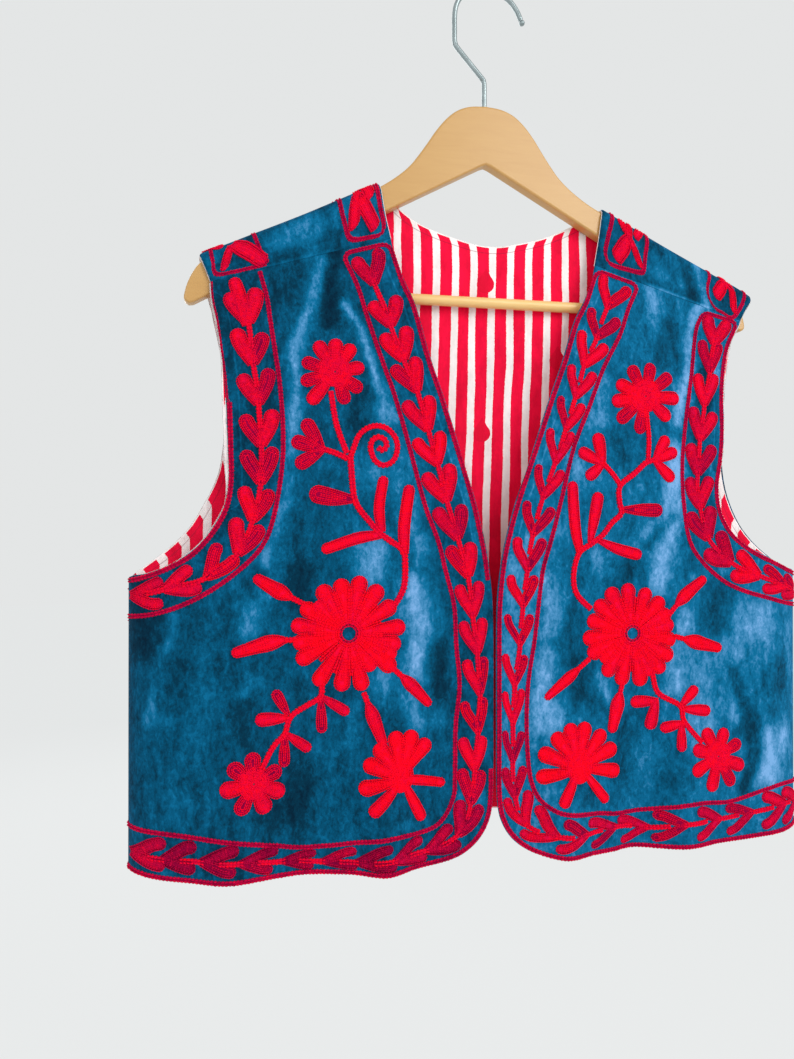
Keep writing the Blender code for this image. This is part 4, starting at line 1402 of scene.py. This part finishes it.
def printed_bud(n, across, down):
    """Where the small buds are: a round foot with a point above it, in a half-drop repeat."""
    columns = (across + BUD_START_ACROSS) / BUD_ACROSS
    local_x = (n.math("FRACT", columns) - 0.5) * BUD_ACROSS
    drop = n.math("MODULO", n.math("FLOOR", columns), 2.0) * (BUD_DOWN * 0.5)
    local_z = (n.math("FRACT", (down + drop + BUD_START_DOWN) / BUD_DOWN) - 0.5) * BUD_DOWN
    wide = abs(local_x)
    ball = ((wide / 7.0) ** 2.0 + ((local_z + 3.0) / 6.8) ** 2.0) ** 0.5
    point = (wide < 5.9 - local_z * 0.62) * (local_z > 0.0) * (local_z < 9.6)
    return n.math("MAXIMUM", ball < 1.0, point)


def lining_material():
    """Plain-woven cotton with printed red stripes and small red buds, under soft patches of painted shade for
    its wrinkles.
    """
    n = Nodes("striped_cotton")
    across, down, rim = n.value("across"), n.value("down"), n.value("rim")
    shift = across + (n.noise(22.0, 2.0, 0.5) - 0.5) * 3.2 + (n.noise(900.0, 2.0, 0.6) - 0.5) * 0.9
    # the facing along each edge is a strip of its own: its stripes lean outwards
    outwards = n.math("MINIMUM", n.math("MAXIMUM", across / 70.0, -0.6), 0.6)
    striped = shift - n.math("MAXIMUM", STITCH_FROM_EDGE - rim, 0.0) * outwards
    red = n.math("FRACT", (striped + STRIPE_START) / STRIPE) < RED_SHARE
    bud = printed_bud(n, shift, down)
    ink = n.math("MAXIMUM", red, bud) * (rim > PALE_FOLD)
    # painted light and shade of the wrinkles, in soft patches over both the red and the white
    wrinkle_shade = n.noise(60.0, 6.0, 0.75, stretch=(1.0, 1.0, 0.5))
    red_colour = n.ramp(wrinkle_shade, ((0.3, srgb(206, 0, 46)), (0.6, srgb(250, 4, 62))))
    white_colour = n.ramp(wrinkle_shade, ((0.3, srgb(226, 216, 214)), (0.6, srgb(250, 244, 244))))
    deeper = n.mix(bud * 0.35, n.mix(ink, white_colour, red_colour), srgb(190, 0, 34))
    # the stitch line beside every edge, and the puckers it draws
    stitch = n.math("SUBTRACT", 1.0, abs(rim - STITCH_FROM_EDGE) / 0.55, clamp=True)
    near_edge = n.math("SUBTRACT", 1.0, rim / (2.6 * STITCH_FROM_EDGE), clamp=True)
    gathers = n.noise(190.0, 2.0, 0.5, stretch=(1.0, 1.0, 0.6)) * near_edge
    pucker = n.noise(70.0, 2.0, 0.5, stretch=(1.0, 1.0, 0.35))
    folds = n.bump(gathers, 0.004, 0.6, n.bump(pucker, 0.006, 0.6))
    return n.shade({
        "Base Color": n.mix(stitch * 0.6, deeper, srgb(132, 20, 52)),
        "Roughness": 0.8,
        "Specular IOR Level": 0.15,
        "Normal": n.bump(n.noise(3200.0, 1.0, 0.5), 0.0001, 0.4, folds),
    })


def wood_material(name, dark, pale):
    """Pale lacquered wood with long, faint grain along the hanger."""
    n = Nodes(name)
    grain = n.noise(260.0, 4.0, 0.6, 0.8, (0.12, 1.0, 1.0))
    mixed = grain * 0.6 + n.noise(30.0, 2.0, 0.5, stretch=(0.3, 1.0, 1.0)) * 0.4
    return n.shade({
        "Base Color": n.ramp(mixed, ((0.3, dark), (0.7, pale))),
        "Roughness": 0.38,
        "Coat Weight": 0.25,
        "Coat Roughness": 0.2,
        "Normal": n.bump(grain, 0.0002, 0.25),
    })


def wire_material():
    """Bright plated wire, faintly worn."""
    n = Nodes("plated_wire")
    colour = n.ramp(n.noise(90.0, 2.0, 0.5), ((0.3, srgb(142, 154, 156)), (0.7, srgb(164, 176, 178))))
    return n.shade({"Base Color": colour, "Metallic": 1.0, "Roughness": 0.36})


# ---------------------------------------------------------------- hanger
ARM_OUTLINE = (
    (0, -89.8), (12, -91), (22, -94.8), (30.5, -101.6), (38.5, -111.2), (45.5, -121.6), (52.5, -131.6),
    (59.5, -140.4), (69, -148.9), (82, -157.8), (97, -165.6), (113, -173.6), (134, -184.1), (153, -193.1),
    (176, -203.6), (191, -210.6), (203, -216.5), (212, -222.5), (217, -229), (220.8, -237), (223, -244.5),
    (223.2, -249.2), (220.4, -251.6), (217, -251.3),
)
TIP_SHORTER = 4.5
UNDERSIDE_HALF = 216.5
UNDERSIDE_TOP = -134.0
UNDERSIDE_SLOPE = 0.54
BOARD_HALF = 5.0
BOARD_ROUND = 1.7
BAR_HEIGHT = -239.0
BAR_RADIUS = 4.0
BAR_IN_BOARD = 6.0
BAR_RINGS = 25
WIRE_RADIUS = 1.9
WIRE_FOOT = -106.0
CROOK = (
    (-23.5, -31), (-23.5, -22), (-22.2, -12.6), (-17.6, -4.6), (-9, 0.3), (3, 1.9), (13.8, 0.2), (21, -4.4),
    (26.2, -10.8), (29.4, -17.4),
)
# The wire's bends between its foot and the crook.
NECK_BENDS = (
    (0, -88), (0, -72), (-0.6, -68.5), (-2.4, -65.6), (-20.6, -45.6), (-22.7, -42.4), (-23.5, -38.5),
    (-23.5, -31),
)
BALL_RADIUS = 2.2


def board_outline():
    """The board's outline, clockwise from the top centre."""
    x = UNDERSIDE_HALF * (1.0 - np.linspace(0.03, 0.985, 26))
    underside = np.stack((x, UNDERSIDE_TOP - UNDERSIDE_SLOPE * x), axis=1)
    right = np.concatenate((spline(ARM_OUTLINE, 6), underside, ((0.0, UNDERSIDE_TOP - 0.6),)))
    left = right[-2:0:-1] * (-1.0, 1.0)
    right[:, 0] -= TIP_SHORTER * fade(right[:, 0], 170.0, 50.0)
    return np.concatenate((right, left))


def inset(outline, distance):
    """Move a clockwise outline inwards."""
    turn = unit(outline - np.roll(outline, 1, axis=0)) + unit(np.roll(outline, -1, axis=0) - outline)
    return outline + unit(np.stack((turn[:, 1], -turn[:, 0]), axis=1)) * distance


def tube_faces(rings, count):
    """Both ends and the sides of a tube of rings of points."""
    faces = [tuple(range(count)), tuple(range((rings - 1) * count, rings * count))]
    for low in range((rings - 1) * count):
        high = low - low % count + (low + 1) % count
        faces.append((low, low + count, high + count, high))
    return faces


def build_board(material):
    """The board, its edges rounded by rings inset from the outline."""
    outline = board_outline()
    layers = []
    for angle in np.radians((90, 72, 54, 36, 18, 0)):
        layers.append((BOARD_ROUND * (1.0 - math.sin(angle)) - BOARD_HALF,
                       inset(outline, BOARD_ROUND * (1.0 - math.cos(angle)))))
    layers += [(-y, ring) for y, ring in layers[::-1]]
    points = np.concatenate([np.insert(ring, 1, y, axis=1) for y, ring in layers])
    faces = tube_faces(len(layers), len(outline))
    return new_object("hanger_board_shape", points, faces, material, flat_faces=2)


def sweep(name, path, radii, steps, material):
    """A round rod along a path in the X-Z plane, closed at both ends."""
    padded = np.concatenate((path[:1], path, path[-1:]))
    along = unit(padded[2:] - padded[:-2])
    angle = np.linspace(0.0, 2.0 * math.pi, steps, endpoint=False)
    aside = radii[:, None] * np.cos(angle)
    points = np.stack((path[:, :1] + along[:, 1:] * aside, radii[:, None] * np.sin(angle),
                       path[:, 1:] - along[:, :1] * aside), axis=-1)
    return new_object(name, points.reshape(-1, 3), tube_faces(len(path), steps), material)


def build_bar(material):
    """The bar, which runs a little way into the board at both ends."""
    reach = (UNDERSIDE_TOP - BAR_HEIGHT) / UNDERSIDE_SLOPE + BAR_IN_BOARD
    x = np.linspace(-reach, reach, BAR_RINGS)
    path = np.stack((x, np.full(BAR_RINGS, BAR_HEIGHT)), axis=1)
    return sweep("trouser_bar", path, np.full(BAR_RINGS, BAR_RADIUS), 28, material)


def build_hook(material):
    """The wire, with a small ball at its tip."""
    foot = ((0.0, WIRE_FOOT), (0.0, -97.0))
    path = np.concatenate((foot, spline(NECK_BENDS, 4), spline(CROOK, 6)[1:]))
    share = np.linspace(0.06, 0.98, 9)
    ball = path[-1] + unit(path[-1] - path[-2]) * (0.4 + 2.0 * BALL_RADIUS * share)[:, None]
    ball_radii = BALL_RADIUS * np.sqrt(1.0 - (2.0 * share - 1.0) ** 2)
    radii = np.concatenate((np.full(len(path), WIRE_RADIUS), ball_radii))
    return sweep("wire_hook", np.concatenate((path, ball)), radii, 20, material)


# ---------------------------------------------------------------- nap
# Light and dark strokes on each front's pile, partly real nap and partly painted highlights and shade of its
# folds:
# from (out, height), to (out, height), half width, strength; light strokes are above 0 and dark ones below.
NAP_AND_SHEEN_STROKES = {
    -1: (
        (132, -216, 138, -252, 5, 0.8), (138, -252, 148, -280, 4, 0.9), (148, -280, 151, -343, 4, 0.9),
        (151, -343, 153, -392, 5, 0.6), (153, -392, 166, -435, 5, 0.6), (168, -457, 179, -483, 6, 0.65),
        (114, -249, 104, -266, 3, 1), (104, -266, 91, -307, 3, 1), (91, -307, 85, -325, 4, 0.9),
        (85, -325, 81, -332, 8, 0.7), (77, -350, 73, -377, 7, 0.5), (73, -377, 65, -411, 7, 0.5),
        (91, -370, 91, -376, 8, 0.4), (91, -428, 91, -442, 11, 0.9), (54, -422, 55, -436, 6, 0.6),
        (62, -452, 57, -483, 9, 1), (57, -483, 61, -515, 9, 0.95), (84, -520, 84, -526, 10, 0.7),
        (62, -530, 57, -552, 6, 0.8), (45, -540, 45, -550, 6, 0.5), (104, -539, 109, -568, 4, 0.4),
        (64, -625, 72, -625, 4, 0.4), (12, -606, 14, -620, 4, 0.7), (36, -350, 22, -388, 3, 0.4),
        (22, -388, 10, -431, 3, 0.4), (227, -472, 238, -512, 4, 0.55), (238, -512, 247, -545, 4, 0.55),
        (173, -519, 181, -526, 4, 0.5), (230, -544, 238, -544, 4, 0.3), (210, -505, 210, -570, 10, 0.18),
        (223, -598, 227, -613, 9, 0.3), (116, -612, 122, -612, 11, 0.2), (124, -574, 124, -596, 8, 0.25),
        (126, -207, 123, -262, 6, -0.6), (158, -228, 158, -238, 9, -0.35), (103, -320, 103, -340, 9, -0.4),
        (143, -446, 143, -464, 9, -0.4), (44, -500, 42, -535, 6, -0.6), (248, -474, 248, -496, 7, -0.4),
        (138, -592, 150, -612, 14, -0.5), (181, -538, 181, -558, 7, -0.25), (205, -250, 176, -340, 14, -0.25),
        (176, -340, 178, -400, 13, -0.25),
    ),
    1: (
        (126, -223, 131, -257, 6, 0.6), (171, -234, 161, -252, 4.5, 0.8), (161, -252, 157, -291, 4.5, 0.8),
        (157, -291, 149, -330, 4.5, 0.8), (145, -355, 142, -396, 8, 1), (142, -396, 135, -434, 8, 1),
        (135, -434, 130, -457, 7, 0.9), (134, -402, 114, -426, 4, 0.5), (153, -480, 153, -494, 8, 0.6),
        (203, -489, 218, -483, 14, 0.5), (146, -506, 146, -530, 10, 0.6), (165, -514, 165, -570, 14, 0.45),
        (188, -510, 190, -545, 16, 0.45), (188.5, -540, 195, -564, 3, 0.7), (224, -575, 223, -607, 9, 0.95),
        (236, -574, 236, -582, 8, 0.8), (39, -510, 35, -539, 8, 0.6), (35, -539, 44, -555, 8, 0.6),
        (33, -512, 33, -560, 6, 0.5), (39, -457, 47, -474, 6, 0.45), (47, -474, 40, -489, 6, 0.45),
        (83, -523, 88, -539, 3, 0.7), (121, -588, 121, -600, 12, 0.35), (81, -434, 81, -444, 5, 0.45),
        (66, -364, 66, -372, 6, 0.4), (83, -303, 83, -330, 6, 0.4), (51, -408, 51, -414, 6, 0.3),
        (166, -206, 166, -215, 5, 0.6), (184, -278, 184, -291, 4, 0.6), (20, -420, 12, -600, 12, 0.25),
        (138, -256, 138, -278, 9, -0.5), (175, -275, 172, -320, 6, -0.7), (165, -330, 168, -395, 9, -0.45),
        (100, -342, 100, -354, 12, -0.4), (143, -402, 121, -424, 4, -0.5), (155, -420, 155, -442, 6, -0.3),
        (104, -444, 96, -454, 7, -0.5), (61, -476, 61, -508, 8, -0.6), (57, -500, 57, -516, 7, -0.5),
        (70, -526, 70, -538, 9, -0.6), (182, -460, 182, -486, 10, -0.6), (165, -478, 165, -488, 8, -0.3),
        (184.6, -530, 196, -573, 4, -0.4), (192, -523, 203, -552, 6, -0.8), (203, -552, 213, -585, 6, -0.8),
        (213, -585, 205, -614, 6, -0.8), (221, -526, 221, -540, 4, -0.4), (226, -556, 226, -582, 6, -0.3),
        (237, -520, 237, -536, 8, -0.5), (104, -556, 104, -596, 8, -0.35), (66, -602, 69, -611, 9, -0.4),
        (140, -578, 140, -602, 11, -0.3), (120, -275, 150, -275, 2.5, -0.25),
    ),
}
# Broad painted light of each front across its width; the left front, on the side the light falls from, is
# painted lighter: out, right front, left front.
PAINTED_SIDE_LIGHT = (
    (0, 0, 0.18), (40, 0, 0.2), (70, 0.02, 0.17), (120, 0, 0.13), (160, -0.01, 0.15), (200, -0.02, 0.2),
    (261, -0.04, 0.24),
)
# How much wider than charted the strokes are, and how strongly light and dark ones show.
STROKE_WIDER = 1.2
LIGHT_SHARE = 0.48
DARK_SHARE = 0.5
# The same strokes, partly painted highlights and shade, on the straps' front face, as seen from the front.
STRAP_STROKES = {
    -1: (
        (112, -180, 150, -196, 7, 0.45), (138, -192, 166, -206, 6, 0.4), (150, -216, 176, -222, 5, -0.3),
    ),
    1: (
        (126, -205, 138, -212, 7, 0.3), (146, -200, 153, -216, 5, 0.35), (168, -202, 175, -236, 4.5, 0.75),
        (158, -205, 163, -228, 5, -0.35), (126, -186, 140, -192, 5, -0.3),
    ),
}
# Painted highlight along the raised line of the shoulder seams: how light it is on each half.
SEAM_HIGHLIGHT = {-1: 0.16, 1: 0.34}


def stroke_pattern(strokes, a, w):
    """Light and dark strokes with uneven sides; where they cross, the strongest shows."""
    a = a + 1.3 * np.sin(w / 19.0 + a / 23.0) + 0.5 * np.sin(w / 6.1 - a / 9.0)
    light = np.zeros(a.shape)
    dark = np.zeros(a.shape)
    for a_from, w_from, a_to, w_to, half_width, strength in strokes:
        along = np.array((a_to - a_from, w_to - w_from))
        t = np.clip(((a - a_from) * along[0] + (w - w_from) * along[1]) / np.dot(along, along), 0.0, 1.0)
        off = np.hypot(a - a_from - t * along[0], w - w_from - t * along[1])
        value = strength * np.exp(-(off / (STROKE_WIDER * half_width)) ** 2)
        light = np.maximum(light, value)
        dark = np.minimum(dark, value)
    return LIGHT_SHARE * light + DARK_SHARE * dark


def back_strokes():
    """The same kind of strokes for the back, scattered down the cloth."""
    strokes = []
    for k in range(46):
        a = RNG.uniform(4.0, 250.0)
        w = RNG.uniform(-620.0, -215.0 - 0.2 * a)
        drop = RNG.uniform(18.0, 62.0)
        drift = RNG.normal(0.0, 7.0)
        strength = RNG.uniform(0.35, 0.85) if k % 3 else -RNG.uniform(0.3, 0.6)
        strokes.append((a, w, a + drift, w - drop, RNG.uniform(4.0, 9.0), strength))
    return strokes


def front_nap_and_sheen(side, a, w):
    """Light and dark of a front's pile: partly real nap, partly painted highlights and shade of its folds,
    over the painted light across its width.
    """
    out, *side_lights = np.array(PAINTED_SIDE_LIGHT, float).T
    # painted light: each front lighter or darker across its width as the light falls on it
    painted_light = np.interp(a, out, side_lights[side > 0])
    return painted_light + stroke_pattern(NAP_AND_SHEEN_STROKES[side], a, w)


def back_nap_and_sheen(side, a, w):
    """The same for the back, with a painted highlight along the shoulder seam, between the borders."""
    strokes = back_strokes()
    for a0, z0, a1, z1, *rest in STRAP_STROKES[side]:
        strokes.append((*on_strap(side, ((a0, z0), (a1, z1))).ravel(), *rest))
    # painted highlight along the shoulder seam's raised line
    seam = np.exp(-((seam_reach(side, a) - 0.9 - w) / 0.8) ** 2)
    painted_light = SEAM_HIGHLIGHT[side] * seam * fade(a, 118.0, 10.0) * fade(a, 184.0, -14.0)
    # the middle line, which both halves share, keeps one even tone
    return np.where(a > 0.0, painted_light + stroke_pattern(strokes, a, w), 0.0)


# ---------------------------------------------------------------- camera, light, floor
FLOOR_HEIGHT = -1.15
FLOOR_REACH = 8.0
PALE = (0.775, 0.79, 0.79, 1.0)
# Lamps: name, place, size, power, colour. All of them face the vest's middle.
LAMPS = (
    ("key", (1.1, -1.7, 0.55), 1.2, 23.0, (1.0, 0.99, 0.97)),
    ("left_fill", (-1.3, -1.6, 0.2), 1.4, 5.0, (1.0, 1.0, 1.0)),
    ("back_fill", (-0.6, 1.9, 0.5), 1.4, 14.0, (1.0, 1.0, 1.0)),
)
LAMP_TARGET = Vector((0.0, 0.0, -0.4))
CAMERA_AT = (-0.1789, -0.5867, -0.4157)
# Turn of the camera to the right and upwards, in degrees.
CAMERA_RIGHT = 10.684
CAMERA_UP = 0.244


def make_camera():
    """The photo's viewing place: left of centre, about level with the chest, turned to the right."""
    data = bpy.data.cameras.new("camera")
    data.sensor_width = 36.0
    data.lens = 27.0
    data.clip_start = 0.02
    data.clip_end = 60.0
    camera = add_object("camera", data)
    camera.matrix_world = (
        Matrix.Translation(CAMERA_AT)
        @ Matrix.Rotation(math.radians(-CAMERA_RIGHT), 4, "Z")
        @ Matrix.Rotation(math.radians(90.0 + CAMERA_UP), 4, "X")
    )
    bpy.context.scene.camera = camera


def make_studio():
    """A pale floor, pale surroundings and three soft lamps."""
    mesh = bpy.data.meshes.new("floor")
    corners = [(x, y, FLOOR_HEIGHT) for x, y in FLOOR_REACH * np.array(((-1, -1), (1, -1), (1, 1), (-1, 1)))]
    mesh.from_pydata(corners, [], [(0, 1, 2, 3)])
    mesh.materials.append(Nodes("pale_floor").shade({
        "Base Color": (0.14, 0.143, 0.143, 1.0), "Emission Color": PALE, "Emission Strength": 0.86,
        "Roughness": 1.0, "Specular IOR Level": 0.0}))
    add_object("floor", mesh)
    world = bpy.data.worlds.new("studio")
    world.use_nodes = True
    world.node_tree.nodes["Background"].inputs["Color"].default_value = PALE
    world.node_tree.nodes["Background"].inputs["Strength"].default_value = 1.0
    bpy.context.scene.world = world
    bpy.context.scene.view_settings.view_transform = "Standard"
    for name, at, size, power, colour in LAMPS:
        data = bpy.data.lights.new(name, "AREA")
        data.shape = "SQUARE"
        data.size = size
        data.energy = power
        data.color = colour
        lamp = add_object(name, data)
        lamp.location = at
        lamp.rotation_euler = (LAMP_TARGET - Vector(at)).to_track_quat("-Z", "Y").to_euler()


# ---------------------------------------------------------------- build
make_camera()
velvet = velvet_material()
cotton = lining_material()
wool = wool_material()
wood = wood_material("pale_wood", srgb(190, 144, 80), srgb(197, 153, 88))
# The bar is the same wood as the board, painted lighter for the light on its round top.
bar_wood_painted_lighter = wood_material("bar_wood_painted_lighter", srgb(226, 184, 112), srgb(238, 198, 128))
wire = wire_material()


def stand_for(piece, node):
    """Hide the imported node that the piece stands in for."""
    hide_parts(node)


NAMES = {-1: "right_front", 1: "left_front"}
for side, name in NAMES.items():
    for layer, material in (("velvet", velvet), ("lining", cotton)):
        node = layer + "_" + name
        panel = build_front_layer(node + "_cloth", side, layer, material)
        stand_for(panel, node)
    for kind, embroider in (("flowers_", front_motifs), ("borders_", front_borders)):
        embroider(side).build(kind + name, wool)

for layer, material in (("velvet", velvet), ("lining", cotton)):
    node = layer + "_back"
    panel = build_back_layer(node + "_cloth", layer, material)
    stand_for(panel, node)
for side, half in ((-1, "right"), (1, "left")):
    back_borders(side).build("borders_back_" + half, wool)

stand_for(build_board(wood), "hanger_board")
stand_for(build_bar(bar_wood_painted_lighter), "hanger_bar")
stand_for(build_hook(wire), "hanger_hook")

make_studio()
